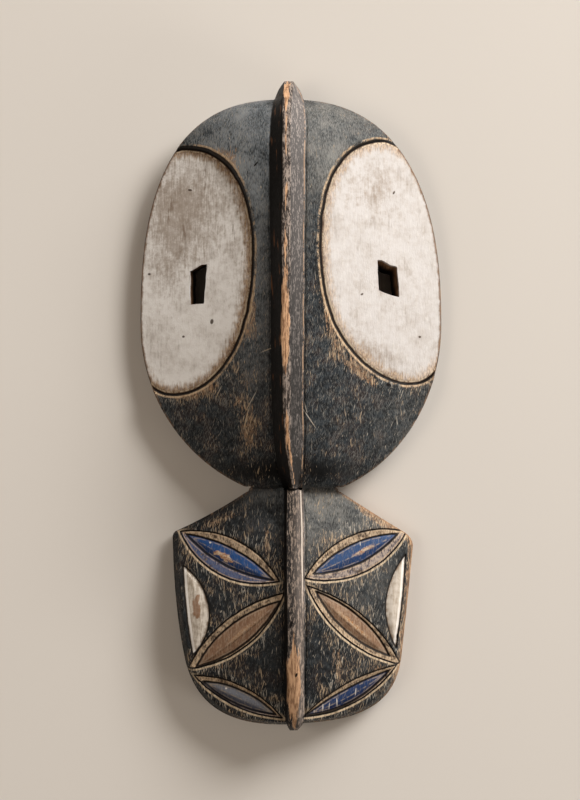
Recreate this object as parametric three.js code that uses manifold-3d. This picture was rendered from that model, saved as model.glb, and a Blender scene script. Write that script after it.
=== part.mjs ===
// A carved wooden face mask, lying on the flat rim of its hollowed back.
// Millimetres. +X is to the right as the mask is seen, +Y towards its top, +Z the way the face looks.
import * as THREE from 'three'
import { mergeVertices } from 'three/addons/utils/BufferGeometryUtils.js'
import Module from 'manifold-3d'

const wasm = await Module()
wasm.setup()

const WOOD_COLOUR = 0x2b2a2d
const WOOD_ROUGHNESS = 0.75
const ABOVE = 140 // the height that every front cutter reaches
const BELOW = -8 // the depth that every cutter of the back reaches

// The upper lobe: an egg outline from two superellipse halves, and a domed roof over it.
const UPPER = {
  centre: [0, 68.5],
  halfWidth: 131.9,
  top: 198,
  bottom: 148.2,
  topPower: 2.56,
  bottomPower: 1.93,
  topLean: -4.3,
  bottomLean: 3.8,
}
const ROOF_HEIGHT = 76
const ROOF_SLOPE = 0.49
const ROOF_ROUNDING = 20 // half the width over which the two roof slopes blend
const ROOF_DROP_AT_NECK = 10
const ROOF_DROP_FROM = 60 // the y where the roof starts to fall towards the neck
const NECK_Y = -75
const NECK_REACH = 139.5 // from the upper lobe's centre down to its straight neck edge
const UPPER_EDGE_HEIGHT = 22
const NECK_EDGE_HEIGHT = 35
const NECK_FADE_X = [70, 20] // where the edge starts to rise towards the neck, and has risen
const NECK_FADE_Y = [20, -70]
const EDGE_POWER = 6 // how late the roof turns down to its edge
const NECK_POWER = 3.2 // the same near the neck, where the lobe is rounder
const NECK_POWER_X = [110, 40]
const NECK_POWER_Y = [40, -60]
const WALL_DRAFT = 0.985 // outline at the back rim, as a share of the widest outline

// The lower lobe, in front view a shield with straight shoulders and a round chin.
const LOWER_CENTRE = [0, -178]
const LOWER_SIDE_HEIGHT = 12
const LOWER_STRIP = 0.055 // share of the radius between the face's arris and the side wall
const LOWER_STRIP_POWER = 0.6 // how the strip steepens towards the side wall
const LOWER_SLOPE = 0.3
const LOWER_BLEND = 10
const LOWER_CREST = [[-60, 34], [-85, 38], [-120, 47], [-170, 56], [-220, 55], [-282, 43]] // y, z

// Each eye field: an egg outline leaning with the face, on a slope that falls outwards.
const EYES = [
  {
    side: -1,
    centre: [-97.8, 115.6],
    inner: 64.2,
    outer: 45,
    top: 107.1,
    bottom: 104.8,
    tilt: -4.5,
    topPower: 2.24,
    bottomPower: 2.16,
  },
  {
    side: 1,
    centre: [94.9, 107],
    inner: 65.8,
    outer: 48,
    top: 123,
    bottom: 87.7,
    tilt: 9.6,
    topPower: 2.2,
    bottomPower: 1.85,
  },
]
const EYE_HEIGHT = 63 // at the field's inner edge
const EYE_INNER_X = 33
const EYE_SLOPE = 0.469
const EYE_EDGE_HEIGHT = 18 // at the field's outer edge
const EYE_CROWN_Y = 95
const EYE_BEND = 0.0005 // how fast the field falls away above and below its crown

// The pierced eye holes, as they cut the eye fields, and how they lean with height.
const EYE_HOLES = [
  {
    lean: [-0.3, 0],
    corners: [[-87.3, 116.3], [-87.1, 87.4], [-74.9, 88.4], [-72.1, 122.4], [-77.5, 121.4]],
  },
  {
    lean: [0.4, 0.45],
    corners: [
      [74.3, 125.7],
      [75.8, 99.9],
      [84.2, 96.1],
      [93.9, 93.8],
      [92.1, 120.3],
      [87.3, 121.3],
      [78.9, 125.8],
    ],
  },
]
const EYE_HOLE_HEIGHT = 41

// Leaves and half-moons: tips of the cut outline and its two bulges, then the same for the pillow
// inside it. A bulge is measured from the line between the tips, the first one to the left of it.
const LEAVES = [
  {
    cut: [[-96.5, -109.8], [-9.9, -150.2], 15.2, 17.7],
    pillow: [[-89.8, -112.4], [-16.2, -148.6], 7.1, 7.6],
  },
  {
    cut: [[11.9, -147.6], [101.2, -109.8], 16.9, 16.4],
    pillow: [[20.6, -143.5], [91.8, -112], 8.2, 8.1],
  },
  {
    cut: [[-89.6, -228], [-5.9, -160.3], 12.3, 15.2],
    pillow: [[-81.1, -225.4], [-10.6, -168.1], 9.4, 9.2],
  },
  {
    cut: [[13.9, -154.4], [95.4, -224.4], 11.3, 13.1],
    pillow: [[22.4, -159.8], [84.7, -215.8], 7.7, 7.9],
  },
  {
    cut: [[-83.9, -233.6], [-7.6, -268.2], 10.2, 8.6],
    pillow: [[-75.4, -239.1], [-14.1, -265], 6.5, 5.5],
  },
  {
    cut: [[10.2, -267.6], [91.9, -224.6], 7.4, 11],
    pillow: [[14.1, -265.7], [83.6, -230.2], 3.1, 8],
  },
  {
    cut: [[-93.6, -139], [-85, -215.2], 18.5, 1.2],
    pillow: [[-92.8, -146], [-86.2, -208], 14.5, 0.2],
  },
  {
    cut: [[90.9, -208], [99.5, -130.2], 12.7, 1.1],
    pillow: [[91.6, -201], [98.2, -137], 9.2, 0.2],
  },
]
const LEAF_CUT_DEPTH = 1.6
const PILLOW_EDGE_DEPTH = 2.6
const PILLOW_CREST_DEPTH = 0.6
const LEAF_STEPS = 12 // sections along a leaf

// The nose ridge: y, left foot, left arris, right arris, right foot, crest height.
const UPPER_RIDGE = [
  [280, -6.8, -5.6, 2, 3, 43],
  [275, -10.2, -6, 1.8, 6.6, 48.5],
  [269, -12.9, -6.4, 1.2, 9.6, 54],
  [261, -15.3, -6.7, 0.4, 11.2, 60.5],
  [244, -17, -6.8, -0.2, 12.4, 71],
  [215, -18.2, -7, -0.6, 12.4, 80],
  [170, -18, -7.2, -0.8, 12, 87],
  [110, -17.3, -7.4, -0.8, 11.4, 91],
  [50, -17, -7.4, -0.8, 11.1, 91.5],
  [0, -16.4, -6.6, -0.6, 11, 88],
  [-32, -14.4, -4.4, -0.2, 10.8, 79],
  [-56, -10.5, -0.8, 1.4, 10.3, 66],
  [-71.5, -6.8, 1.6, 2.4, 9.9, 53.5],
]
const LOWER_RIDGE = [
  [-66, -5.9, -2.4, 4.6, 11, 49.5],
  [-90, -5.9, -2.9, 5.6, 11.6, 52.5],
  [-125, -5.9, -2.9, 6, 12, 59],
  [-170, -5.9, -2.9, 6, 12, 65.5],
  [-215, -5.9, -2.6, 6, 12, 64.5],
  [-255, -5.6, -2.2, 6.4, 11.8, 57],
  [-274, -4.2, -1.9, 7.4, 11, 48.5],
  [-280, -1.9, -0.8, 5.2, 7, 40],
]
const RIDGE_FOOT = 16 // the height inside the block that the ridge is joined on from
const RIDGE_SUNK = 0.6 // how far the foot of its slopes goes under the face
const RIDGE_TIP_FOOT = 26 // the foot's height where the tip stands out past the block
const ARRIS_CHAMFER = 0.75
const RIDGE_STEPS = 3 // sections made between two stations

// The hollows of the back, each under a ceiling that follows the front.
const UPPER_HOLLOW = { halfWidth: 117, top: 180, bottom: 128 }
const LOWER_HOLLOW_SHARE = 0.85
const LOWER_HOLLOW_CENTRE = [0, -180]
const CEILING_SHARE = 0.85
const CEILING_WALL = 8
const HOLLOW_EDGE_POWER = 9
const RIM_STEP = 0.5

// How finely the surfaces are divided.
const AROUND = 60
const UPPER_RINGS = [0, 0.18, 0.34, 0.5, 0.64, 0.76, 0.85, 0.91, 0.955, 0.985, 1]
const LOWER_RINGS = [0, 0.25, 0.5, 0.75, 0.945, 0.965, 0.982, 0.993, 1]
const HOLLOW_RINGS = [0, 0.3, 0.6, 0.8, 0.92, 0.98, 1]
const EYE_RINGS = [0, 0.5, 1]
const CURVE_POINTS = 24 // on each curve of the lower lobe's outline
const SAME_PLACE = 1e-4 // corners nearer than this are one corner

// The value at x of a smooth line through points [x, value], which are in falling or rising order.
function along(points, x, column = 1) {
  const rising = points[0][0] < points.at(-1)[0]
  const line = rising ? points : [...points].reverse()
  const last = line.length - 1
  if (x <= line[0][0]) return line[0][column]
  if (x >= line[last][0]) return line[last][column]
  const i = line.findIndex((point) => point[0] > x) - 1
  const slope = (k) => {
    const a = line[Math.max(k - 1, 0)]
    const b = line[Math.min(k + 1, last)]
    return (b[column] - a[column]) / (b[0] - a[0])
  }
  const width = line[i + 1][0] - line[i][0]
  const t = (x - line[i][0]) / width
  const eased = t * t * (3 - 2 * t)
  const start = t * (1 - t) * (1 - t) * width * slope(i)
  const end = t * t * (1 - t) * width * slope(i + 1)
  return line[i][column] * (1 - eased) + line[i + 1][column] * eased + start - end
}

// Rises smoothly from 0 at from to 1 at to, which may be the smaller of the two.
function smoothstep(from, to, x) {
  return THREE.MathUtils.smoothstep((x - from) / (to - from), 0, 1)
}

// A point of an egg outline: angle 0 is +X, and share scales it towards the centre.
function eggPoint(egg, angle, share) {
  const c = Math.cos(angle)
  const s = Math.sin(angle)
  const power = s > 0 ? egg.topPower : egg.bottomPower
  const rise = Math.abs(s) ** (2 / power) * share
  const lean = (s > 0 ? egg.topLean : egg.bottomLean) * rise * rise
  const x = Math.sign(c) * Math.abs(c) ** (2 / power) * share * egg.halfWidth + lean
  const y = Math.sign(s) * rise * (s > 0 ? egg.top : egg.bottom)
  return [egg.centre[0] + x, egg.centre[1] + y]
}

// How far out a point lies in an egg outline: 0 at its centre, 1 on the outline.
function eggShare(egg, x, y) {
  const dy = y - egg.centre[1]
  const up = dy > 0
  const rise = Math.abs(dy) / (up ? egg.top : egg.bottom)
  const power = up ? egg.topPower : egg.bottomPower
  const dx = x - egg.centre[0] - (up ? egg.topLean : egg.bottomLean) * rise * rise
  return ((Math.abs(dx) / egg.halfWidth) ** power + rise ** power) ** (1 / power)
}

// A point of the upper lobe, which is an egg with its narrow end cut straight off at the neck.
function upperPoint(angle, share) {
  const [x, y] = eggPoint(UPPER, angle, share)
  return [x, Math.max(y, UPPER.centre[1] - NECK_REACH * share)]
}

function upperShare(x, y) {
  return Math.max(eggShare(UPPER, x, y), (UPPER.centre[1] - y) / NECK_REACH)
}

function roofHeight(x, y) {
  const crown = ROOF_HEIGHT - ROOF_DROP_AT_NECK * smoothstep(ROOF_DROP_FROM, NECK_Y, y)
  return crown - ROOF_SLOPE * (Math.hypot(x, ROOF_ROUNDING) - ROOF_ROUNDING)
}

function upperHeight(x, y) {
  const share = Math.min(upperShare(x, y), 1)
  const nearNeck = smoothstep(...NECK_FADE_X, Math.abs(x)) * smoothstep(...NECK_FADE_Y, y)
  const edge = UPPER_EDGE_HEIGHT + (NECK_EDGE_HEIGHT - UPPER_EDGE_HEIGHT) * nearNeck
  const rounder = smoothstep(...NECK_POWER_X, Math.abs(x)) * smoothstep(...NECK_POWER_Y, y)
  const power = THREE.MathUtils.lerp(EDGE_POWER, NECK_POWER, rounder)
  return edge + (roofHeight(x, y) - edge) * Math.sqrt(1 - share ** power)
}

function eyeHeight(x, y) {
  const bend = EYE_BEND * (y - EYE_CROWN_Y) ** 2
  return EYE_HEIGHT - EYE_SLOPE * (Math.abs(x) - EYE_INNER_X) - bend
}

// The lower lobe's outline, from the right end of the neck over the chin to the left end.
function lowerOutline() {
  const shape = new THREE.Shape()
  shape.moveTo(34, -58)
  shape.lineTo(40.3, -72.7)
  shape.quadraticCurveTo(62, -87.5, 97.5, -109)
  shape.quadraticCurveTo(106.6, -114, 106.9, -122)
  shape.lineTo(96.5, -219)
  shape.bezierCurveTo(93, -246, 80, -274, 12, -276.1)
  shape.bezierCurveTo(-60, -284, -84, -257, -92.5, -221)
  shape.quadraticCurveTo(-102, -175, -103.6, -116)
  shape.quadraticCurveTo(-103.8, -110.6, -101, -109.2)
  shape.quadraticCurveTo(-66, -93.5, -35.8, -72.7)
  shape.lineTo(-32, -58)
  return shape.getPoints(CURVE_POINTS)
}

const LOWER_OUTLINE = lowerOutline()
const TOUCHING = 1e-9 // so that a ray through a corner of the outline meets one of its two edges

// Where a ray from a centre meets the lower lobe's outline, as a distance from that centre.
function lowerReach(centre, angle) {
  const way = [Math.cos(angle), Math.sin(angle)]
  const distances = LOWER_OUTLINE.map((a, i) => {
    const b = LOWER_OUTLINE[(i + 1) % LOWER_OUTLINE.length]
    const from = [a.x - centre[0], a.y - centre[1]]
    const edge = [b.x - a.x, b.y - a.y]
    const cross = way[0] * edge[1] - way[1] * edge[0]
    const distance = (from[0] * edge[1] - from[1] * edge[0]) / cross
    const share = (from[0] * way[1] - from[1] * way[0]) / cross
    return distance > 0 && share >= -TOUCHING && share <= 1 + TOUCHING ? distance : 0
  })
  return Math.max(...distances)
}

function lowerPoint(centre, angle, share) {
  const reach = lowerReach(centre, angle) * share
  return [centre[0] + Math.cos(angle) * reach, centre[1] + Math.sin(angle) * reach]
}

function lowerShare(centre, x, y) {
  const dx = x - centre[0]
  const dy = y - centre[1]
  return Math.hypot(dx, dy) / lowerReach(centre, Math.atan2(dy, dx))
}

function lowerFace(x, y) {
  return along(LOWER_CREST, y) - LOWER_SLOPE * (Math.hypot(x, LOWER_BLEND) - LOWER_BLEND)
}

function lowerHeight(x, y) {
  const share = Math.min(lowerShare(LOWER_CENTRE, x, y), 1)
  const out = Math.max(share - 1 + LOWER_STRIP, 0) / LOWER_STRIP
  const side = LOWER_SIDE_HEIGHT
  return side + (lowerFace(x, y) - side) * (1 - Math.min(out, 1)) ** LOWER_STRIP_POWER
}

// Makes a solid from a list of corners and a list of triangles, given as numbers of corners.
function solid(corners, triangles) {
  const geometry = new THREE.BufferGeometry()
  geometry.setAttribute('position', new THREE.Float32BufferAttribute(corners.flat(), 3))
  geometry.setIndex(triangles.flat())
  return solidOf(geometry)
}

// Merges a geometry's shared corners and drops triangles that have closed up to a line.
function solidOf(geometry) {
  geometry.deleteAttribute('normal')
  geometry.deleteAttribute('uv')
  const merged = mergeVertices(geometry, SAME_PLACE)
  const index = merged.index.array
  const kept = []
  for (let i = 0; i < index.length; i += 3) {
    const [a, b, c] = index.slice(i, i + 3)
    if (a !== b && b !== c && c !== a) kept.push(a, b, c)
  }
  const vertProperties = merged.attributes.position.array
  return new wasm.Manifold(new wasm.Mesh({ numProp: 3, vertProperties, triVerts: new Uint32Array(kept) }))
}

// A block over a grid of [x, y] points, between two surfaces. Columns run around or along it, and
// each holds its points from one side wall, or from a shared centre, to the other side wall.
function block(grid, lowSurface, highSurface, { round = false } = {}) {
  const rows = grid[0].length
  const layer = grid.length * rows
  const low = grid.flatMap((column) => column.map(([x, y], j) => [x, y, lowSurface(x, y, j)]))
  const high = grid.flatMap((column) => column.map(([x, y], j) => [x, y, highSurface(x, y, j)]))
  const triangles = []
  const addQuad = (a, b, c, d) => triangles.push([a, b, c], [a, c, d])
  const columns = round ? grid.length : grid.length - 1
  for (let i = 0; i < columns; i += 1) {
    const here = i * rows
    const next = ((i + 1) % grid.length) * rows
    for (let j = 0; j < rows - 1; j += 1) {
      addQuad(here + j, next + j, next + j + 1, here + j + 1)
      addQuad(layer + here + j, layer + here + j + 1, layer + next + j + 1, layer + next + j)
    }
    const end = rows - 1
    addQuad(here + end, next + end, layer + next + end, layer + here + end)
    if (!round) addQuad(here, layer + here, layer + next, next)
  }
  return solid([...low, ...high], triangles)
}

// A grid of rings around a centre, for block.
function rings(shares, point) {
  return Array.from({ length: AROUND }, (_, i) => {
    const angle = (i / AROUND) * 2 * Math.PI
    return shares.map((share) => point(angle, share))
  })
}

// A lobe: its face down to the widest outline, and below that a wall that draws in to the rim.
function lobe(shares, point, height) {
  const inset = shares.map((share) => share * WALL_DRAFT)
  const outer = rings(shares, point)
  const inner = rings(inset, point)
  const count = shares.length
  const corners = [
    ...inner.flatMap((column) => column.map(([x, y]) => [x, y, 0])),
    ...outer.flatMap((column) => column.map(([x, y]) => [x, y, height(x, y)])),
  ]
  const layer = AROUND * count
  const triangles = []
  const addQuad = (a, b, c, d) => triangles.push([a, b, c], [a, c, d])
  for (let i = 0; i < AROUND; i += 1) {
    const here = i * count
    const next = ((i + 1) % AROUND) * count
    for (let j = 0; j < count - 1; j += 1) {
      addQuad(layer + here + j, layer + here + j + 1, layer + next + j + 1, layer + next + j)
    }
    addQuad(here + count - 1, next + count - 1, layer + next + count - 1, layer + here + count - 1)
    triangles.push([here, next + count - 1, here + count - 1])
  }
  return solid(corners, triangles)
}

// The ridge over one lobe, skinned over sections across it.
function ridge(stations, surface) {
  const sections = []
  const last = stations.length - 1
  for (let k = 0; k <= last * RIDGE_STEPS; k += 1) {
    const i = Math.min(Math.floor(k / RIDGE_STEPS), last - 1)
    const t = k / RIDGE_STEPS - i
    const y = THREE.MathUtils.lerp(stations[i][0], stations[i + 1][0], t)
    const [leftFoot, leftArris, rightArris, rightFoot, crest] = [1, 2, 3, 4, 5].map(
      (column) => along(stations, y, column),
    )
    const under = (x) => Math.max(surface(x, y) - RIDGE_SUNK, RIDGE_TIP_FOOT)
    sections.push([
      [leftFoot, y, RIDGE_FOOT],
      [leftFoot, y, under(leftFoot)],
      [leftArris, y, crest - ARRIS_CHAMFER],
      [leftArris + ARRIS_CHAMFER, y, crest],
      [rightArris - ARRIS_CHAMFER, y, crest],
      [rightArris, y, crest - ARRIS_CHAMFER],
      [rightFoot, y, under(rightFoot)],
      [rightFoot, y, RIDGE_FOOT],
    ])
  }
  const size = sections[0].length
  const triangles = []
  for (let k = 0; k < sections.length - 1; k += 1) {
    for (let i = 0; i < size; i += 1) {
      const a = k * size + i
      const b = k * size + ((i + 1) % size)
      triangles.push([a, a + size, b], [b, a + size, b + size])
    }
  }
  const end = (sections.length - 1) * size
  for (let i = 1; i < size - 1; i += 1) {
    triangles.push([0, i, i + 1], [end, end + i + 1, end + i])
  }
  return solid(sections.flat(), triangles)
}

// A point of a leaf outline, at a share of its length, on its left (side 1) or right (side -1).
function leafPoint([from, to, leftBulge, rightBulge], share, side) {
  const dx = to[0] - from[0]
  const dy = to[1] - from[1]
  const half = Math.hypot(dx, dy) / 2
  const bulge = side > 0 ? leftBulge : rightBulge
  const radius = (half * half + bulge * bulge) / (2 * bulge)
  const reach = (share * 2 - 1) * half
  const out = (Math.sqrt(radius * radius - reach * reach) - radius + bulge) * side
  return [from[0] + dx * share - (dy / half / 2) * out, from[1] + dy * share + (dx / half / 2) * out]
}

// What is carved away over one leaf: down to a sloping border and a two-faced pillow inside it.
function leafCutter({ cut, pillow }) {
  const depths = [LEAF_CUT_DEPTH, PILLOW_EDGE_DEPTH, PILLOW_CREST_DEPTH, PILLOW_EDGE_DEPTH, LEAF_CUT_DEPTH]
  const grid = []
  for (let i = 0; i <= LEAF_STEPS; i += 1) {
    const share = (1 - Math.cos((i / LEAF_STEPS) * Math.PI)) / 2
    const right = leafPoint(pillow, share, -1)
    const left = leafPoint(pillow, share, 1)
    const crest = [(left[0] + right[0]) / 2, (left[1] + right[1]) / 2]
    grid.push([leafPoint(cut, share, 1), left, crest, right, leafPoint(cut, share, -1)])
  }
  return block(grid, (x, y, j) => lowerHeight(x, y) - depths[j], () => ABOVE)
}

function eyeCutter(eye) {
  const turn = THREE.MathUtils.degToRad(eye.tilt)
  const point = (angle, share) => {
    const c = Math.cos(angle)
    const s = Math.sin(angle)
    const power = s > 0 ? eye.topPower : eye.bottomPower
    const width = c * eye.side > 0 ? eye.outer : eye.inner
    const x = Math.sign(c) * Math.abs(c) ** (2 / power) * width * share
    const y = Math.sign(s) * Math.abs(s) ** (2 / power) * (s > 0 ? eye.top : eye.bottom) * share
    return [
      eye.centre[0] + x * Math.cos(turn) - y * Math.sin(turn),
      eye.centre[1] + x * Math.sin(turn) + y * Math.cos(turn),
    ]
  }
  return block(rings(EYE_RINGS, point), eyeHeight, () => ABOVE, { round: true })
}

function eyeHoleCutter({ lean, corners }) {
  const outline = new THREE.Shape(corners.map(([x, y]) => new THREE.Vector2(x, y)))
  const geometry = new THREE.ExtrudeGeometry(outline, { depth: ABOVE - BELOW, bevelEnabled: false })
  const position = geometry.attributes.position
  for (let i = 0; i < position.count; i += 1) {
    const z = position.getZ(i) + BELOW
    const up = z - EYE_HOLE_HEIGHT
    position.setXYZ(i, position.getX(i) + lean[0] * up, position.getY(i) + lean[1] * up, z)
  }
  return solidOf(geometry)
}

// The hollow's ceiling under a given height of the front, curving down to the rim at share 1.
function ceiling(front, share) {
  const wall = Math.sqrt(Math.max(1 - Math.min(share, 1) ** HOLLOW_EDGE_POWER, 0))
  return Math.max((CEILING_SHARE * front - CEILING_WALL) * wall, RIM_STEP)
}

function upperHollow() {
  const egg = { ...UPPER, ...UPPER_HOLLOW }
  const point = (angle, share) => eggPoint(egg, angle, share)
  const front = (x, y) => Math.min(upperHeight(x, y), Math.max(eyeHeight(x, y), EYE_EDGE_HEIGHT))
  const high = (x, y) => ceiling(front(x, y), eggShare(egg, x, y))
  return block(rings(HOLLOW_RINGS, point), () => BELOW, high, { round: true })
}

function lowerHollow() {
  const point = (angle, share) => lowerPoint(LOWER_HOLLOW_CENTRE, angle, share * LOWER_HOLLOW_SHARE)
  const share = (x, y) => lowerShare(LOWER_HOLLOW_CENTRE, x, y) / LOWER_HOLLOW_SHARE
  const high = (x, y) => ceiling(lowerFace(x, y) - PILLOW_EDGE_DEPTH, share(x, y))
  return block(rings(HOLLOW_RINGS, point), () => BELOW, high, { round: true })
}

function carvedBlock() {
  const upper = lobe(UPPER_RINGS, upperPoint, upperHeight)
  const lower = lobe(LOWER_RINGS, (angle, share) => lowerPoint(LOWER_CENTRE, angle, share), lowerHeight)
  const eyes = EYES.map(eyeCutter)
  const leaves = LEAVES.map(leafCutter)
  const holes = EYE_HOLES.map(eyeHoleCutter)
  let carved = eyes.reduce((whole, cutter) => whole.subtract(cutter), upper)
  carved = carved.add(leaves.reduce((whole, cutter) => whole.subtract(cutter), lower))
  carved = carved.add(ridge(UPPER_RIDGE, upperHeight)).add(ridge(LOWER_RIDGE, lowerHeight))
  return [upperHollow(), lowerHollow(), ...holes].reduce((whole, cutter) => whole.subtract(cutter), carved)
}

function meshOf(manifold, name, material) {
  const { vertProperties, triVerts } = manifold.getMesh()
  const geometry = new THREE.BufferGeometry()
  geometry.setAttribute('position', new THREE.BufferAttribute(new Float32Array(vertProperties), 3))
  geometry.setIndex(new THREE.BufferAttribute(new Uint32Array(triVerts), 1))
  geometry.computeVertexNormals()
  const mesh = new THREE.Mesh(geometry, material)
  mesh.name = name
  return mesh
}

const paintedWood = new THREE.MeshStandardMaterial({
  color: WOOD_COLOUR,
  roughness: WOOD_ROUGHNESS,
  metalness: 0,
})

const mask = new THREE.Group()
mask.add(meshOf(carvedBlock(), 'mask', paintedWood))

export default mask
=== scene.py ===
import math

import bpy
import numpy as np
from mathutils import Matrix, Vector
from mathutils.geometry import delaunay_2d_cdt
from mathutils.kdtree import KDTree


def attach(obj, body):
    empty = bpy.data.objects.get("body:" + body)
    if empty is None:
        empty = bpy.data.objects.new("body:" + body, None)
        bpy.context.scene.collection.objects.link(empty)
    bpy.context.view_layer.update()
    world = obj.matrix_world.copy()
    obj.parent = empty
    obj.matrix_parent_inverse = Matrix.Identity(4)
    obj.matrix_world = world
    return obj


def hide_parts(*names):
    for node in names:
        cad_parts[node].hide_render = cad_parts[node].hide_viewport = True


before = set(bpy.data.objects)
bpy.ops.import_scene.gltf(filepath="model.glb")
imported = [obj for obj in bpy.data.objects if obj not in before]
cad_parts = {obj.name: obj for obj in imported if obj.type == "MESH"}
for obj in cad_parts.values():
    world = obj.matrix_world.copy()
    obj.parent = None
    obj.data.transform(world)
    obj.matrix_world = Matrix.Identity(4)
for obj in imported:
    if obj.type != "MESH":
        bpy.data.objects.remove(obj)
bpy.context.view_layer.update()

# Sizes are in millimetres until a mesh is made, in the CAD's frame.
MM = 0.001

# The upper lobe.
UPPER = {
    "centre": (0, 68.5),
    "half_width": 131.9,
    "top": 198,
    "bottom": 148.2,
    "top_power": 2.56,
    "bottom_power": 1.93,
    "top_lean": -4.3,
    "bottom_lean": 3.8,
}
ROOF_HEIGHT = 76
ROOF_SLOPE = 0.49
ROOF_ROUNDING = 20
ROOF_DROP_AT_NECK = 10
ROOF_DROP_FROM = 60
NECK_Y = -75
NECK_REACH = 139.5  # from the upper lobe's centre down to its straight neck edge
UPPER_EDGE_HEIGHT = 22
NECK_EDGE_HEIGHT = 35
NECK_WAVE = 0.4
NECK_WAVE_LENGTH = 8
NECK_FADE_X = (70, 20)
NECK_FADE_Y = (20, -70)
EDGE_POWER = 6
NECK_POWER = 3.2
NECK_POWER_X = (110, 40)
NECK_POWER_Y = (40, -60)

# The lower lobe.
LOWER_CENTRE = (0, -178)
LOWER_SIDE_HEIGHT = 12
LOWER_STRIP = 0.055  # share of the radius between the face's arris and the side wall
LOWER_STRIP_POWER = 0.6
LOWER_SLOPE = 0.3
LOWER_BLEND = 10
LOWER_CREST = ((-60, 34), (-85, 38), (-120, 47), (-170, 56), (-220, 55), (-282, 43))  # y, z

# The eye fields and the holes pierced in them.
EYES = (
    {
        "side": -1,
        "centre": (-97.8, 115.6),
        "inner": 64.2,
        "outer": 45,
        "top": 107.1,
        "bottom": 104.8,
        "tilt": -4.5,
        "top_power": 2.24,
        "bottom_power": 2.16,
    },
    {
        "side": 1,
        "centre": (94.9, 107),
        "inner": 65.8,
        "outer": 48,
        "top": 123,
        "bottom": 87.7,
        "tilt": 9.6,
        "top_power": 2.2,
        "bottom_power": 1.85,
    },
)
EYE_HEIGHT = 63
EYE_INNER_X = 33
EYE_SLOPE = 0.469
EYE_EDGE_HEIGHT = 18
EYE_CROWN_Y = 95
EYE_BEND = 0.0005
EYE_LINES = (-4.2, -2.4, -0.4, 0.1, 1.1, 3.6)  # distances inside the eye outline where its edge changes
EYE_ARRIS_DROP = 0.6
EYE_GROOVE = 1.1
EYE_EDGE_DROP = 0.4
EYE_HOLES = (
    {
        "lean": (-0.3, 0),
        "corners": ((-87.3, 116.3), (-87.1, 87.4), (-74.9, 88.4), (-72.1, 122.4), (-77.5, 121.4)),
    },
    {
        "lean": (0.4, 0.45),
        "corners": (
            (74.3, 125.7),
            (75.8, 99.9),
            (84.2, 96.1),
            (93.9, 93.8),
            (92.1, 120.3),
            (87.3, 121.3),
            (78.9, 125.8),
        ),
    },
)
HOLE_WAVE = 0.35
TUNNEL_ROWS = 5  # bands of faces down an eye hole's wall
TUNNEL_WAVE = 0.25
TUNNEL_SHADE_DEPTH = 14  # depth from which that wall is painted black, as shade

# Leaves: two tips and the bulges to the left and right, for the cut and for the pillow; the pillow's
# paint; and where along it the crest is worn, how far from there, and how much.
LEAVES = (
    {
        "cut": ((-96.5, -109.8), (-9.9, -150.2), 15.2, 17.7),
        "pillow": ((-89.8, -112.4), (-16.2, -148.6), 7.1, 7.6),
        "paint": (38, 72, 122),
        "wear": (0.4, 0.2, 0),
    },
    {
        "cut": ((11.9, -147.6), (101.2, -109.8), 16.9, 16.4),
        "pillow": ((20.6, -143.5), (91.8, -112), 8.2, 8.1),
        "paint": (44, 72, 114),
        "wear": (0.6, 0.2, 0.7),
    },
    {
        "cut": ((-89.6, -228), (-5.9, -160.3), 12.3, 15.2),
        "pillow": ((-81.1, -225.4), (-10.6, -168.1), 9.4, 9.2),
        "paint": (130, 98, 76),
        "wear": (0.55, 0.3, 0.6),
    },
    {
        "cut": ((13.9, -154.4), (95.4, -224.4), 11.3, 13.1),
        "pillow": ((22.4, -159.8), (84.7, -215.8), 7.7, 7.9),
        "paint": (126, 96, 74),
        "wear": (0.5, 0.35, 0.7),
    },
    {
        "cut": ((-83.9, -233.6), (-7.6, -268.2), 10.2, 8.6),
        "pillow": ((-75.4, -239.1), (-14.1, -265), 6.5, 5.5),
        "paint": (112, 114, 122),
        "wear": (0.5, 0.3, 0.25),
    },
    {
        "cut": ((10.2, -267.6), (91.9, -224.6), 7.4, 11),
        "pillow": ((14.1, -265.7), (83.6, -230.2), 3.1, 8),
        "paint": (34, 54, 92),
        "wear": (0.5, 0.3, 0.2),
    },
)
# The carved relief: rows of distance inside an outline and depth below the smooth face.
LEAF_PROFILE = ((-2.8, 0), (-0.8, 0.3), (0, 1.8), (0.9, 0.7))
BORDER_DEPTHS = (0.7, 1.6)  # at the cut, and beside the pillow
BORDER_FULL = 3  # distance inside the cut from which the border has its own depth
BORDER_REACH = 9
PILLOW_EDGE_DEPTH = 2.6
PILLOW_CREST_DEPTH = 0.6
PILLOW_CREST_SHARE = 0.56
PILLOW_GROOVE = 0.9
PILLOW_WIDE = 12  # how wide a pillow is where its crest reaches its full height
PILLOW_ROUNDING = 1.4

# The half-moons, as outlines of the same kind.
MOON_OUTLINES = (((-93.6, -139), (-85, -215.2), 18.5, 1.2), ((90.9, -208), (99.5, -130.2), 12.7, 1.1))
MOON_PROFILE = ((-2.4, 0), (-0.8, 0.3), (0, 1.7), (0.9, 1.5))
MOON_EDGE_DEPTH = 1.5
MOON_RIDGE_RISE = 1.5
MOON_RIDGE_SHARE = 0.42
MOON_WIDE = 10  # how wide a half-moon is where its crest reaches its full height
MOON_FULL = 2.5  # distance inside the cut from which it has its own height

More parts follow.
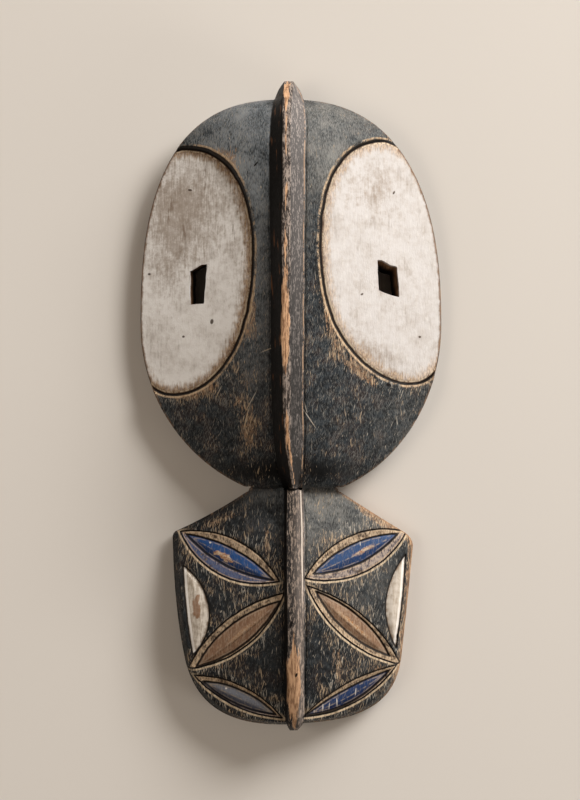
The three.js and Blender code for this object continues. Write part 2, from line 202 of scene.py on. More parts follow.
# The nose ridge: y, left foot, left arris, right arris, right foot, crest height.
UPPER_RIDGE = (
    (280, -6.8, -5.6, 2, 3, 43), (275, -10.2, -6, 1.8, 6.6, 48.5), (269, -12.9, -6.4, 1.2, 9.6, 54),
    (261, -15.3, -6.7, 0.4, 11.2, 60.5), (244, -17, -6.8, -0.2, 12.4, 71),
    (215, -18.2, -7, -0.6, 12.4, 80), (170, -18, -7.2, -0.8, 12, 87),
    (110, -17.3, -7.4, -0.8, 11.4, 91), (50, -17, -7.4, -0.8, 11.1, 91.5),
    (0, -16.4, -6.6, -0.6, 11, 88), (-32, -14.4, -4.4, -0.2, 10.8, 79),
    (-56, -10.5, -0.8, 1.4, 10.3, 66), (-71.5, -6.8, 1.6, 2.4, 9.9, 53.5),
)
LOWER_RIDGE = (
    (-66, -5.9, -2.4, 4.6, 11, 49.5), (-90, -5.9, -2.9, 5.6, 11.6, 52.5),
    (-125, -5.9, -2.9, 6, 12, 59), (-170, -5.9, -2.9, 6, 12, 65.5), (-215, -5.9, -2.6, 6, 12, 64.5),
    (-255, -5.6, -2.2, 6.4, 11.8, 57), (-274, -4.2, -1.9, 7.4, 11, 48.5),
    (-280, -1.9, -0.8, 5.2, 7, 40),
)
RIDGE_TIP_FOOT = 26
RIDGE_CROWN = 0.25
ARRIS_ROUNDING = (1.4, 1.2)
RIDGE_GROOVE = 0.9
GROOVE_AWAY = 0.6
GROOVE_HALF_WIDTH = 0.8
# How the ridge's lines waver: the line, its place in the noise, the wave's length and size, the seed.
RIDGE_WAVES = ((1, 0, 17, 0.5, 89), (2, 5, 13, 0.4, 90), (3, 9, 21, 0.4, 92))

# The hollows of the back.
UPPER_HOLLOW = dict(UPPER, half_width=117, top=180, bottom=128)
LOWER_HOLLOW_SHARE = 0.85
LOWER_HOLLOW_CENTRE = (0, -180)
CEILING_SHARE = 0.85
CEILING_WALL = 8
CEILING_LIMIT = 60
HOLLOW_EDGE_POWER = 9

# The knife's unevenness: rows of wave lengths along x and y, size and seed.
FLUTES = ((6.5, 23, 0.2, 11), (14, 31, 0.35, 12), (38, 46, 0.8, 13))
GOUGES = ((9, 17, 0.7, 41), (17, 22, 0.6, 42))
UPPER_FLUTES, LOWER_FLUTES = 0.6, 0.5
LOWER_FLUTES_FROM = 300
EYE_FIELD_WAVE = ((21, 33, 0.35, 21),)
WOBBLE = 0.35
LENS_WOBBLE = 0.6
KNIFE = 0.6

# Seeds of the other noises and of the meshes' jitter.
NECK_SEED = 71
EYE_SEED = 81
CUT_SEED, PILLOW_SEED, MOON_SEED = 83, 85, 87
CREST_SEED = 91
HOLE_SEED = 31
WALL_SEED = 51
TUNNEL_SEED = 61
FRONT_SEED, BACK_SEED = 5, 6

# How finely the surfaces are divided.
FRONT_STEP = 1.45
LINE_STEP = 1.25
BACK_STEP = 4.0
HOLLOW_STEP = 3
SLOPE_STEP = 0.05
OUTLINE_STEPS = 24
REACH_STEPS = 2048
NOISE_SIZE = 256
MESH_LOW, MESH_HIGH = (-133, -281), (133, 281)

# The front mesh's edge, and the lines that it keeps.
RIM_INSET = 0.8  # how far inside the widest outline the front mesh ends
RIM_SHARE = 0.0105
UPPER_RINGS = (1 - RIM_SHARE, 0.986, 0.975)
LOWER_RINGS = (1 - RIM_INSET / 100, 0.984, 0.97, 1 - LOWER_STRIP)
HOLLOW_RINGS = (1, 0.99, 0.965, 0.93)
LENS_LINES = (0.8, 0, -0.9)  # distances outside a cut
PILLOW_LINES = (PILLOW_GROOVE, 0, -0.8)
NECK_HALF_WIDTH = 36
NECK_LINES = (0, 0.7)  # distances below the neck's edge
# The ridge's lines: which of its five numbers, and how far beside it.
RIDGE_LINES = ((0, -1.4), (0, -0.6), (0, 0), (1, 0), (2, 0), (3, 0), (3, 0.6), (3, 1.4))
# Each ridge's end, from and to which y, where it stands out past its lobe.
RIDGE_TIPS = ((UPPER_RIDGE, 255, 280 - RIM_INSET), (LOWER_RIDGE, -268, RIM_INSET - 280))
TIP_STEPS = 14
TIP_SHARE = 1.008
UPPER_TIP_Y, LOWER_TIP_Y = 200, -250  # beyond these, only a ridge's tip leaves its lobe's outline
NOTCH = (36, -72)
NOTCH_REACH = 6

# The side wall, from the front's edge down to the back rim: inset from the widest outline, share of
# the way down, and how far a ridge's overhanging tip has drawn in to the lobe.
WALL_ROWS = (
    (0.12, 0.04, 0.0), (0.0, 0.11, 0.0), (0.05, 0.2, 0.0), (0.2, 0.28, 0.3), (0.4, 0.37, 0.85),
    (0.65, 0.47, 1.0), (1.0, 0.64, 1.0), (1.35, 0.82, 1.0), (1.7, 0.95, 1.0), (2.5, 1.0, 1.0),
)


def mix(a, b, share):
    return a + (b - a) * share


def smoothstep(start, end, x):
    t = np.clip((x - start) / (end - start), 0, 1)
    return t * t * (3 - 2 * t)


def along(points, x, column=1):
    """The value at x of a smooth line through rows of points, whose first column rises or falls."""
    rows = np.array(sorted(points), float)
    x = np.clip(x, rows[0, 0], rows[-1, 0])
    place, value = rows[:, 0], rows[:, column]
    slope = np.empty_like(value)
    slope[1:-1] = (value[2:] - value[:-2]) / (place[2:] - place[:-2])
    slope[0] = (value[1] - value[0]) / (place[1] - place[0])
    slope[-1] = (value[-1] - value[-2]) / (place[-1] - place[-2])
    i = np.clip(np.searchsorted(place, x, side="right") - 1, 0, len(rows) - 2)
    width = place[i + 1] - place[i]
    t = (x - place[i]) / width
    eased = t * t * (3 - 2 * t)
    start = t * (1 - t) ** 2 * width * slope[i]
    end = t * t * (1 - t) * width * slope[i + 1]
    return mix(value[i], value[i + 1], eased) + start - end


def noise(x, y, seed):
    """Smooth noise from -1 to 1, with one lattice step to each unit of x and y."""
    values = np.random.default_rng(seed).uniform(-1, 1, (NOISE_SIZE, NOISE_SIZE))
    x, y = np.asarray(x, float), np.asarray(y, float)
    i, j = np.floor(x).astype(int), np.floor(y).astype(int)
    u, v = x - i, y - j
    u, v = u * u * (3 - 2 * u), v * v * (3 - 2 * v)
    i0, j0 = i % NOISE_SIZE, j % NOISE_SIZE
    i1, j1 = (i + 1) % NOISE_SIZE, (j + 1) % NOISE_SIZE
    near = mix(values[i0, j0], values[i1, j0], u)
    far = mix(values[i0, j1], values[i1, j1], u)
    return mix(near, far, v)


def waves(rows, x, y):
    return sum(noise(x / along_x, y / along_y, seed) * size for along_x, along_y, size, seed in rows)


def egg_point(egg, angle, share):
    c, s = np.cos(angle), np.sin(angle)
    up = s > 0
    power = np.where(up, egg["top_power"], egg["bottom_power"])
    rise = np.abs(s) ** (2 / power) * share
    lean = np.where(up, egg.get("top_lean", 0), egg.get("bottom_lean", 0)) * rise**2
    x = np.sign(c) * np.abs(c) ** (2 / power) * share * egg["half_width"] + lean
    y = np.sign(s) * rise * np.where(up, egg["top"], egg["bottom"])
    return egg["centre"][0] + x, egg["centre"][1] + y


def egg_share(egg, x, y):
    dy = y - egg["centre"][1]
    up = dy > 0
    rise = np.abs(dy) / np.where(up, egg["top"], egg["bottom"])
    power = np.where(up, egg["top_power"], egg["bottom_power"])
    dx = x - egg["centre"][0] - np.where(up, egg["top_lean"], egg["bottom_lean"]) * rise**2
    return ((np.abs(dx) / egg["half_width"]) ** power + rise**power) ** (1 / power)


def neck_wave(x):
    return noise(np.asarray(x) / NECK_WAVE_LENGTH, np.zeros_like(x), NECK_SEED) * NECK_WAVE


def upper_point(angle, share):
    x, y = egg_point(UPPER, angle, share)
    return x, np.maximum(y, UPPER["centre"][1] - NECK_REACH * share + neck_wave(x))


def upper_share(x, y):
    to_neck = (UPPER["centre"][1] + neck_wave(x) - y) / NECK_REACH
    return np.maximum(egg_share(UPPER, x, y), to_neck)


def eye_point(eye, angle, share):
    c, s = np.cos(angle), np.sin(angle)
    power = np.where(s > 0, eye["top_power"], eye["bottom_power"])
    width = np.where(c * eye["side"] > 0, eye["outer"], eye["inner"])
    x = np.sign(c) * np.abs(c) ** (2 / power) * width * share
    y = np.sign(s) * np.abs(s) ** (2 / power) * np.where(s > 0, eye["top"], eye["bottom"]) * share
    turn = math.radians(eye["tilt"])
    return (
        eye["centre"][0] + x * math.cos(turn) - y * math.sin(turn),
        eye["centre"][1] + x * math.sin(turn) + y * math.cos(turn),
    )


def eye_share(eye, x, y):
    turn = math.radians(eye["tilt"])
    dx, dy = x - eye["centre"][0], y - eye["centre"][1]
    u = dx * math.cos(turn) + dy * math.sin(turn)
    v = -dx * math.sin(turn) + dy * math.cos(turn)
    power = np.where(v > 0, eye["top_power"], eye["bottom_power"])
    width = np.where(u * eye["side"] > 0, eye["outer"], eye["inner"])
    height = np.where(v > 0, eye["top"], eye["bottom"])
    return ((np.abs(u) / width) ** power + (np.abs(v) / height) ** power) ** (1 / power)


def slope(value, x, y):
    """How fast value(x, y) rises along x and along y."""
    along_x = value(x + SLOPE_STEP, y) - value(x - SLOPE_STEP, y)
    along_y = value(x, y + SLOPE_STEP) - value(x, y - SLOPE_STEP)
    return along_x / (2 * SLOPE_STEP), along_y / (2 * SLOPE_STEP)


def distance_inside(share, x, y):
    """How far inside its outline a point is, near the outline, where share(x, y) is 1."""
    return (1 - share(x, y)) / np.maximum(np.hypot(*slope(share, x, y)), 1e-6)


def bezier(*points):
    t = np.linspace(0, 1, OUTLINE_STEPS + 1)[1:, None]
    points = [np.array(p, float)[None] for p in points]
    while len(points) > 1:
        points = [mix(a, b, t) for a, b in zip(points, points[1:])]
    return points[0]


def lower_outline():
    """The lower lobe's outline, anticlockwise from the neck's left end."""
    parts = [
        np.array([(34, -58), (40.3, -72.7)], float),
        bezier((40.3, -72.7), (62, -87.5), (97.5, -109)),
        bezier((97.5, -109), (106.6, -114), (106.9, -122)),
        np.array([(96.5, -219)], float),
        bezier((96.5, -219), (93, -246), (80, -274), (12, -276.1)),
        bezier((12, -276.1), (-60, -284), (-84, -257), (-92.5, -221)),
        bezier((-92.5, -221), (-102, -175), (-103.6, -116)),
        bezier((-103.6, -116), (-103.8, -110.6), (-101, -109.2)),
        bezier((-101, -109.2), (-66, -93.5), (-35.8, -72.7)),
        np.array([(-32, -58)], float),
    ]
    return np.concatenate(parts)[::-1]


def reach_table(outline, centre):
    """The outline's distance from a centre, at evenly spaced angles from -pi to pi."""
    closed = np.vstack([outline, outline[:1]])
    dense = [mix(a, b, t) for a, b in zip(closed, closed[1:]) for t in np.linspace(0, 1, 20)[:-1]]
    away = np.array(dense) - centre
    angle = np.arctan2(away[:, 1], away[:, 0])
    order = np.argsort(angle)
    places = np.linspace(-math.pi, math.pi, REACH_STEPS)
    return places, np.interp(places, angle[order], np.hypot(*away.T)[order], period=2 * math.pi)


LOWER_OUTLINE = lower_outline()
LOWER_REACH = reach_table(LOWER_OUTLINE, LOWER_CENTRE)
HOLLOW_REACH = reach_table(LOWER_OUTLINE, LOWER_HOLLOW_CENTRE)


def lower_point(angle, share, centre=LOWER_CENTRE, table=LOWER_REACH):
    turned = np.arctan2(np.sin(angle), np.cos(angle))
    reach = np.interp(turned, *table) * share
    return centre[0] + np.cos(angle) * reach, centre[1] + np.sin(angle) * reach


def lower_share(x, y, centre=LOWER_CENTRE, table=LOWER_REACH):
    dx, dy = x - centre[0], y - centre[1]
    return np.hypot(dx, dy) / np.interp(np.arctan2(dy, dx), *table)


def roof_height(x, y):
    crown = ROOF_HEIGHT - ROOF_DROP_AT_NECK * smoothstep(ROOF_DROP_FROM, NECK_Y, y)
    return crown - ROOF_SLOPE * (np.hypot(x, ROOF_ROUNDING) - ROOF_ROUNDING)


def upper_height(x, y):
    share = np.minimum(upper_share(x, y), 1)
    near_neck = smoothstep(*NECK_FADE_X, np.abs(x)) * smoothstep(*NECK_FADE_Y, y)
    edge = UPPER_EDGE_HEIGHT + (NECK_EDGE_HEIGHT - UPPER_EDGE_HEIGHT) * near_neck
    rounder = smoothstep(*NECK_POWER_X, np.abs(x)) * smoothstep(*NECK_POWER_Y, y)
    return edge + (roof_height(x, y) - edge) * np.sqrt(1 - share ** mix(EDGE_POWER, NECK_POWER, rounder))


def eye_height(x, y):
    bend = EYE_BEND * (y - EYE_CROWN_Y) ** 2
    return EYE_HEIGHT - EYE_SLOPE * (np.abs(x) - EYE_INNER_X) - bend


def lower_face(x, y):
    return along(LOWER_CREST, y) - LOWER_SLOPE * (np.hypot(x, LOWER_BLEND) - LOWER_BLEND)


def lower_height(x, y):
    share = np.minimum(lower_share(x, y), 1)
    out = np.clip((share - 1 + LOWER_STRIP) / LOWER_STRIP, 0, 1)
    return LOWER_SIDE_HEIGHT + (lower_face(x, y) - LOWER_SIDE_HEIGHT) * (1 - out) ** LOWER_STRIP_POWER


class Lens:
    """A leaf outline: two arcs that meet in two tips. Side 1 is its left one and side -1 its right one."""

    def __init__(self, start, end, left_bulge, right_bulge):
        self.start, self.end = np.array(start, float), np.array(end, float)
        self.bulges = {1: left_bulge, -1: right_bulge}
        self.run = self.end - self.start
        self.length = np.hypot(*self.run)
        self.normal = np.array([-self.run[1], self.run[0]]) / self.length

    def arc(self, side):
        bulge = self.bulges[side]
        radius = (self.length**2 / 4 + bulge**2) / (2 * bulge)
        centre = (self.start + self.end) / 2 + self.normal * side * (bulge - radius)
        return centre, radius

    def from_arc(self, side, x, y):
        """How far a point lies on the lens's side of one of its arcs."""
        centre, radius = self.arc(side)
        return radius - np.hypot(x - centre[0], y - centre[1])

    def inside(self, x, y, seed):
        """How far inside the lens a point is, as the knife cut it."""
        return np.minimum(self.from_arc(1, x, y), self.from_arc(-1, x, y)) + lens_wobble(x, y, seed)

    def share_along(self, x, y):
        return ((x - self.start[0]) * self.run[0] + (y - self.start[1]) * self.run[1]) / self.length**2

    def beside_crest(self, x, y, crest):
        """0 at the edges and 1 on a crest that is part of the way across from the left arc."""
        left = np.maximum(self.from_arc(1, x, y), 0)
        right = np.maximum(self.from_arc(-1, x, y), 0)
        across = left / np.maximum(left + right, 1e-6)
        return np.where(across < crest, across / crest, (1 - across) / (1 - crest))

    def width(self, x, y):
        return self.from_arc(1, x, y) + self.from_arc(-1, x, y)

    def edge(self, side, out):
        """A row of points along one arc, moved outwards from the lens by a distance."""
        centre, radius = self.arc(side)
        a, b = self.start - centre, self.end - centre
        first, last = math.atan2(a[1], a[0]), math.atan2(b[1], b[0])
        last = first + math.remainder(last - first, 2 * math.pi)
        count = max(int(self.length / LINE_STEP), 4)
        angle = np.linspace(first, last, count + 1)
        return centre + (radius + out) * np.column_stack([np.cos(angle), np.sin(angle)])

    def crest(self, share):
        """A row of points from tip to tip, part of the way across from the left arc."""
        return mix(self.edge(1, 0), self.edge(-1, 0), share)

    def lines(self, side, distances, seed):
        """Rows of points along one edge, moved outwards by distances, with the knife's unevenness."""
        inside = lambda x, y: self.from_arc(side, x, y) + lens_wobble(x, y, seed)
        return [shifted(self.edge(side, out), inside, -out) for out in distances]


for leaf in LEAVES:
    leaf["cut"], leaf["pillow"] = Lens(*leaf["cut"]), Lens(*leaf["pillow"])
MOONS = [Lens(*outline) for outline in MOON_OUTLINES]


def wobble(x, y, seed):
    return (noise(x / 9, y / 9, seed) + 0.6 * noise(x / 3.5, y / 3.5, seed + 1)) * WOBBLE


def lens_wobble(x, y, seed):
    return wobble(x, y, seed) * LENS_WOBBLE


def eye_inside(eye, x, y):
    return distance_inside(lambda u, v: eye_share(eye, u, v), x, y) + wobble(x, y, EYE_SEED)


def leaf_depth(leaf, x, y):
    """How far one leaf's carving lies below the smooth face."""
    pillow = leaf["pillow"]
    inside = leaf["cut"].inside(x, y, CUT_SEED)
    in_pillow = pillow.inside(x, y, PILLOW_SEED)
    outline = np.interp(inside, *zip(*LEAF_PROFILE))
    border = np.interp(-in_pillow, (PILLOW_GROOVE, BORDER_REACH), BORDER_DEPTHS[::-1])
    border = mix(outline, border, smoothstep(LEAF_PROFILE[-1][0], BORDER_FULL, inside))
    border = mix(border, PILLOW_EDGE_DEPTH, np.clip(1 + in_pillow / PILLOW_GROOVE, 0, 1))
    to_crest = pillow.beside_crest(x, y, PILLOW_CREST_SHARE)
    rise = (PILLOW_EDGE_DEPTH - PILLOW_CREST_DEPTH) * smoothstep(0, PILLOW_WIDE, pillow.width(x, y))
    cushion = PILLOW_EDGE_DEPTH - rise * (1 - (1 - to_crest) ** PILLOW_ROUNDING)
    return np.where(in_pillow > 0, cushion, border)


def moon_depth(moon, x, y):
    inside = moon.inside(x, y, MOON_SEED)
    to_ridge = moon.beside_crest(x, y, MOON_RIDGE_SHARE)
    cushion = MOON_EDGE_DEPTH - MOON_RIDGE_RISE * smoothstep(0, MOON_WIDE, moon.width(x, y)) * to_ridge
    edge = np.interp(inside, *zip(*MOON_PROFILE))
    return mix(edge, cushion, smoothstep(MOON_PROFILE[-1][0], MOON_FULL, inside))


def ridge_lines(stations, y):
    """A ridge's left foot, left arris, right arris, right foot and crest height, as the knife left them."""
    lines = [along(stations, y, column) for column in range(1, 6)]
    room = smoothstep(0.5, 6, lines[2] - lines[1])
    for line, place, length, size, seed in RIDGE_WAVES:
        lines[line] = lines[line] + noise(np.full_like(y, place), y / length, seed) * size * room
    return lines


def ridge_height(stations, surface, x, y):
    """The ridge over one lobe, or a low number off it."""
    left_foot, left_arris, right_arris, right_foot, crest = ridge_lines(stations, y)
    left_base = np.maximum(surface(left_foot, y), RIDGE_TIP_FOOT)
    right_base = np.maximum(surface(right_foot, y), RIDGE_TIP_FOOT)
    left = mix(left_base, crest, (x - left_foot) / (left_arris - left_foot))
    right = mix(right_base, crest, (x - right_foot) / (right_arris - right_foot))
    middle = (left_arris + right_arris) / 2
    width = np.maximum(right_arris - left_arris, 1)
    top = crest - RIDGE_CROWN * ((x - middle) / width * 2) ** 2
    height = soft_min(soft_min(left, right, ARRIS_ROUNDING[0]), top, ARRIS_ROUNDING[1])
    height = height + noise(x / 5, y / 19, CREST_SEED) * 0.2 - 0.25
    first, last = stations[-1][0], stations[0][0]
    on = (x > left_foot - 0.05) & (x < right_foot + 0.05) & (y > first - 0.05) & (y < last + 0.05)
    return np.where(on, height, -1e3)


def soft_min(a, b, width):
    gap = np.clip(0.5 + 0.5 * (b - a) / width, 0, 1)
    return mix(b, a, gap) - width * gap * (1 - gap) * 0.5


def foot_groove(stations, x, y):
    """The depth of the creases beside the ridge's feet."""
    left_foot, _, _, right_foot, _ = ridge_lines(stations, y)
    first, last = stations[-1][0], stations[0][0]
    near = np.minimum(np.abs(x - left_foot + GROOVE_AWAY), np.abs(x - right_foot - GROOVE_AWAY))
    fade = smoothstep(first + 4, first + 22, y) * smoothstep(last - 18, last - 34, y)
    return RIDGE_GROOVE * np.maximum(1 - near / GROOVE_HALF_WIDTH, 0) * fade


def eye_edge(inside, dome, floor):
    """The height where an eye field is let into the dome, from the dome's arris to the field."""
    out, arris, foot, bottom, lip, flat = EYE_LINES
    from_dome = dome - EYE_ARRIS_DROP * smoothstep(out, arris, inside)
    sunk = np.minimum(floor, from_dome) - EYE_GROOVE
    wall = mix(from_dome, sunk, np.clip((inside - arris) / (foot - arris), 0, 1))
    field = np.minimum(floor, dome)
    lipped = mix(sunk, field - EYE_EDGE_DROP, np.clip((inside - bottom) / (lip - bottom), 0, 1))
    edged = mix(lipped, field, smoothstep(lip, flat, inside))
    return np.where(inside < foot, wall, edged)


def front_height(x, y):
    """The height of the whole front."""
    upper_in = upper_share(x, y) <= 1.001
    dome = upper_height(x, y) + waves(FLUTES, x, y) * UPPER_FLUTES
    floor = eye_height(x, y) + waves(EYE_FIELD_WAVE, x, y)
    for eye in EYES:
        inside = eye_inside(eye, x, y)
        dome = np.where(inside > EYE_LINES[0], eye_edge(inside, dome, floor), dome)
    dome = dome - foot_groove(UPPER_RIDGE, x, y)
    shield = lower_height(x, y) + waves(FLUTES, x + LOWER_FLUTES_FROM, y) * LOWER_FLUTES
    shield = shield - foot_groove(LOWER_RIDGE, x, y)
    for leaf in LEAVES:
        shield = shield - leaf_depth(leaf, x, y)
    for moon in MOONS:
        shield = shield - moon_depth(moon, x, y)
    height = np.where(upper_in, dome, shield)
    upper_ridge = ridge_height(UPPER_RIDGE, upper_height, x, y)
    lower_ridge = ridge_height(LOWER_RIDGE, lower_height, x, y)
    ridge = np.where(upper_ridge > 0, upper_ridge, lower_ridge)
    return np.where(ridge > 0, np.where(upper_in, np.maximum(height, ridge), ridge), height)


def resample(points, step):
    """Points at even distances round a closed outline."""
    points = np.asarray(points, float)
    points = np.vstack([points, points[:1]])
    run = np.concatenate([[0], np.cumsum(np.hypot(*np.diff(points, axis=0).T))])
    count = max(int(round(run[-1] / step)), 2)
    places = np.linspace(0, run[-1], count + 1)[:-1]
    return np.column_stack([np.interp(places, run, column) for column in points.T])


class Flat:
    """A triangulation in the plane, from lines that it keeps and points between them."""

    def __init__(self):
        self.points, self.edges, self.count = [], [], 0

    def line(self, points, closed=False):
        n = len(points)
        self.points.append(np.asarray(points, float))
        ends = range(self.count, self.count + n)
        self.edges += [(a, a + 1) for a in ends[:-1]]
        if closed:
            self.edges.append((ends[-1], ends[0]))
        self.count += n

    def fill(self, low, high, step, seed, keep):
        """Adds a jittered triangular grid inside keep(x, y), clear of the lines."""
        tree = KDTree(self.count)
        for i, (x, y) in enumerate(np.vstack(self.points)):
            tree.insert((x, y, 0), i)
        tree.balance()
        rows = np.arange(low[1], high[1], step * math.sqrt(0.75))
        places = np.arange(low[0], high[0], step)
        grid = [(x + step / 2 * (j % 2), y) for j, y in enumerate(rows) for x in places]
        grid = np.array(grid) + np.random.default_rng(seed).uniform(-0.12, 0.12, (len(grid), 2)) * step
        grid = grid[keep(grid[:, 0], grid[:, 1])]
        clear = [tree.find((x, y, 0))[2] > step * 0.55 for x, y in grid]
        grid = grid[np.array(clear)]
        self.points.append(grid)
        self.count += len(grid)

    def triangles(self, keep):
        points = [Vector(p) for p in np.vstack(self.points).tolist()]
        verts, _, faces, *_ = delaunay_2d_cdt(points, self.edges, [], 0, 1e-5)
        verts, faces = np.array([tuple(v) for v in verts]), np.array(faces)
        middle = verts[faces].mean(1)
        faces = faces[keep(middle[:, 0], middle[:, 1])]
        used, faces = np.unique(faces, return_inverse=True)
        return verts[used], faces.reshape(-1, 3)


def in_polygon(corners, x, y):
    """True inside a polygon, counted from the sides that cross each point's row."""
    corners = np.float32(corners).astype(float)  # as exact as the triangulation's own points
    order = np.argsort(y)
    rows, places = y[order], x[order]
    inside = np.zeros(len(x), bool)
    for (ax, ay), (bx, by) in zip(corners, np.roll(corners, -1, axis=0)):
        first, last = np.searchsorted(rows, (min(ay, by), max(ay, by)))
        if last > first:
            crossing = ax + (bx - ax) * (rows[first:last] - ay) / (by - ay)
            inside[first:last] ^= places[first:last] < crossing
    result = np.empty(len(x), bool)
    result[order] = inside
    return result


def only_between(outlines, holes):
    """A test for the points that lie inside one of some outlines and outside every hole."""

    def keep(x, y):
        inside = np.any([in_polygon(outline, x, y) for outline in outlines], axis=0)
        return inside & ~np.any([in_polygon(outline, x, y) for outline in holes], axis=0)

    return keep


def eye_hole_outline(hole, seed):
    outline = resample(hole["corners"], LINE_STEP)
    away = outline - outline.mean(0)
    wave = noise(np.arange(len(outline)) / 4, seed, seed) * HOLE_WAVE
    return outline + away / np.hypot(*away.T)[:, None] * wave[:, None]


def tip_outline(stations, from_y, to_y):
    """The plan of a ridge's end where it stands out past its lobe, up one side and down the other."""
    ys = np.linspace(from_y, to_y, TIP_STEPS)
    left_foot, _, _, right_foot, _ = ridge_lines(stations, ys)
    left, right = np.column_stack([left_foot, ys]), np.column_stack([right_foot, ys])
    return resample(np.vstack([left, right[::-1]]), LINE_STEP)


FULL_TURN = np.linspace(0, 2 * math.pi, 721)[:-1]


def rings(point, shares, step):
    """Closed rows of points round a field, at parts of its width."""
    return [resample(np.column_stack(point(FULL_TURN, share)), step) for share in shares]


def shifted(outline, inside, distance):
    """An outline's points moved to where they lie a distance inside it."""
    for _ in range(4):
        x, y = outline.T
        ways = np.column_stack(slope(inside, x, y))
        outline = outline - ways * ((inside(x, y) - distance) / (ways**2).sum(1))[:, None]
    return outline


def front_lines(flat):
    """Adds the lines that the carving follows: eye fields, leaves, half-moons, neck and ridge."""
    for eye in EYES:
        outline = rings(lambda angle, share: eye_point(eye, angle, share), (1,), LINE_STEP)[0]
        for distance in EYE_LINES[1:-1]:
            flat.line(shifted(outline, lambda x, y: eye_inside(eye, x, y), distance), True)
    lines = []
    for leaf in LEAVES:
        for side in (1, -1):
            lines += leaf["cut"].lines(side, LENS_LINES, CUT_SEED)
            lines += leaf["pillow"].lines(side, PILLOW_LINES, PILLOW_SEED)
        lines.append(leaf["pillow"].crest(PILLOW_CREST_SHARE))
    for moon in MOONS:
        for side in (1, -1):
            lines += moon.lines(side, LENS_LINES, MOON_SEED)
        lines.append(moon.crest(MOON_RIDGE_SHARE))
    neck = np.arange(-NECK_HALF_WIDTH, NECK_HALF_WIDTH + 0.1, LINE_STEP)
    edge_y = UPPER["centre"][1] - NECK_REACH + neck_wave(neck)
    lines += [np.column_stack([neck, edge_y - below]) for below in NECK_LINES]
    for stations, share in ((UPPER_RIDGE, upper_share), (LOWER_RIDGE, lower_share)):
        ys = np.arange(stations[-1][0] + 0.7, stations[0][0] - 0.5, LINE_STEP)
        ridge = ridge_lines(stations, ys)
        for column, beside in RIDGE_LINES:
            line = np.column_stack([ridge[column] + beside, ys])
            lines.append(line if beside == 0 else line[share(*line.T) < 0.97])
    for line in lines:
        flat.line(line)


def front_mesh():
    flat = Flat()
    holes = [eye_hole_outline(hole, HOLE_SEED + i) for i, hole in enumerate(EYE_HOLES)]
    upper = rings(upper_point, UPPER_RINGS, LINE_STEP)
    lower = rings(lower_point, LOWER_RINGS, LINE_STEP)
    tips = [tip_outline(*tip) for tip in RIDGE_TIPS]
    for ring in upper + lower + tips:
        flat.line(ring, True)
    front_lines(flat)
    for outline in holes:
        flat.line(outline, True)
    keep = only_between((upper[0], lower[0], *tips), holes)
    flat.fill(MESH_LOW, MESH_HIGH, FRONT_STEP, FRONT_SEED, keep)
    return flat.triangles(keep), holes


def boundary_loops(faces):
    """The closed loops of corner numbers round a triangulation, with the surface on their left."""
    sides = np.concatenate([faces[:, [0, 1]], faces[:, [1, 2]], faces[:, [2, 0]]])
    known = set(map(tuple, sides.tolist()))
    after = {a: b for a, b in known if (b, a) not in known}
    loops = []
    while after:
        first, here = after.popitem()
        loop = [first]
        while here != first:
            loop.append(here)
            here = after.pop(here)
        loops.append(loop)
    return sorted(loops, key=len, reverse=True)


def onto_lobe(points):
    """Points of the ridge's tips moved back to their lobe's outline, and the others as they are."""
    points = points.copy()
    x, y = points.T
    count = len(points)
    half_turn = np.linspace(0, math.pi, 4001)
    upper = np.column_stack(upper_point(half_turn[::-1], 1))
    lower = np.column_stack(lower_point(half_turn - math.pi, 1))
    tips = (
        (upper, (y > UPPER_TIP_Y) & (upper_share(x, y) > TIP_SHARE)),
        (lower, (y < LOWER_TIP_Y) & (lower_share(x, y) > TIP_SHARE)),
    )
    for outline, beyond in tips:
        start = int(np.flatnonzero(beyond & ~np.roll(beyond, 1))[0])
        run = (start + np.arange(beyond.sum())) % count
        places = np.linspace(x[start - 1], x[(run[-1] + 1) % count], len(run) + 2)[1:-1]
        points[run] = np.column_stack([places, np.interp(places, *outline.T)])
    return points


def away_from_centre(points):
    """Unit vectors from the centre of each point's lobe."""
    upper = points[:, 1] > NECK_Y
    away = points - np.where(upper[:, None], UPPER["centre"], LOWER_CENTRE)
    return away / np.hypot(*away.T)[:, None]


def ceiling(front, share):
    wall = np.sqrt(np.maximum(1 - np.minimum(share, 1) ** HOLLOW_EDGE_POWER, 0))
    return np.maximum((CEILING_SHARE * front - CEILING_WALL) * wall, 0)


def back_height(x, y):
    upper = egg_share(UPPER_HOLLOW, x, y)
    lower = lower_share(x, y, LOWER_HOLLOW_CENTRE, HOLLOW_REACH) / LOWER_HOLLOW_SHARE
    face = np.minimum(upper_height(x, y), np.maximum(eye_height(x, y), EYE_EDGE_HEIGHT))
    shield = lower_face(x, y) - PILLOW_EDGE_DEPTH
    inside = np.where(upper < 1, ceiling(face, upper), 0) + np.where(lower < 1, ceiling(shield, lower), 0)
    inside = np.minimum(inside, CEILING_LIMIT)
    return inside + waves(GOUGES, x, y) * smoothstep(1, 8, inside)


def upper_hollow_point(angle, share):
    return egg_point(UPPER_HOLLOW, angle, share)


def lower_hollow_point(angle, share):
    return lower_point(angle, share, LOWER_HOLLOW_CENTRE, HOLLOW_REACH)


def back_mesh(rim, holes):
    flat = Flat()
    shares = np.array(HOLLOW_RINGS)
    hollows = rings(upper_hollow_point, shares, HOLLOW_STEP)
    hollows += rings(lower_hollow_point, shares * LOWER_HOLLOW_SHARE, HOLLOW_STEP)
    for outline in (rim, *hollows, *holes):
        flat.line(outline, True)
    keep = only_between((rim,), holes)
    flat.fill(MESH_LOW, MESH_HIGH, BACK_STEP, BACK_SEED, keep)
    return flat.triangles(keep)


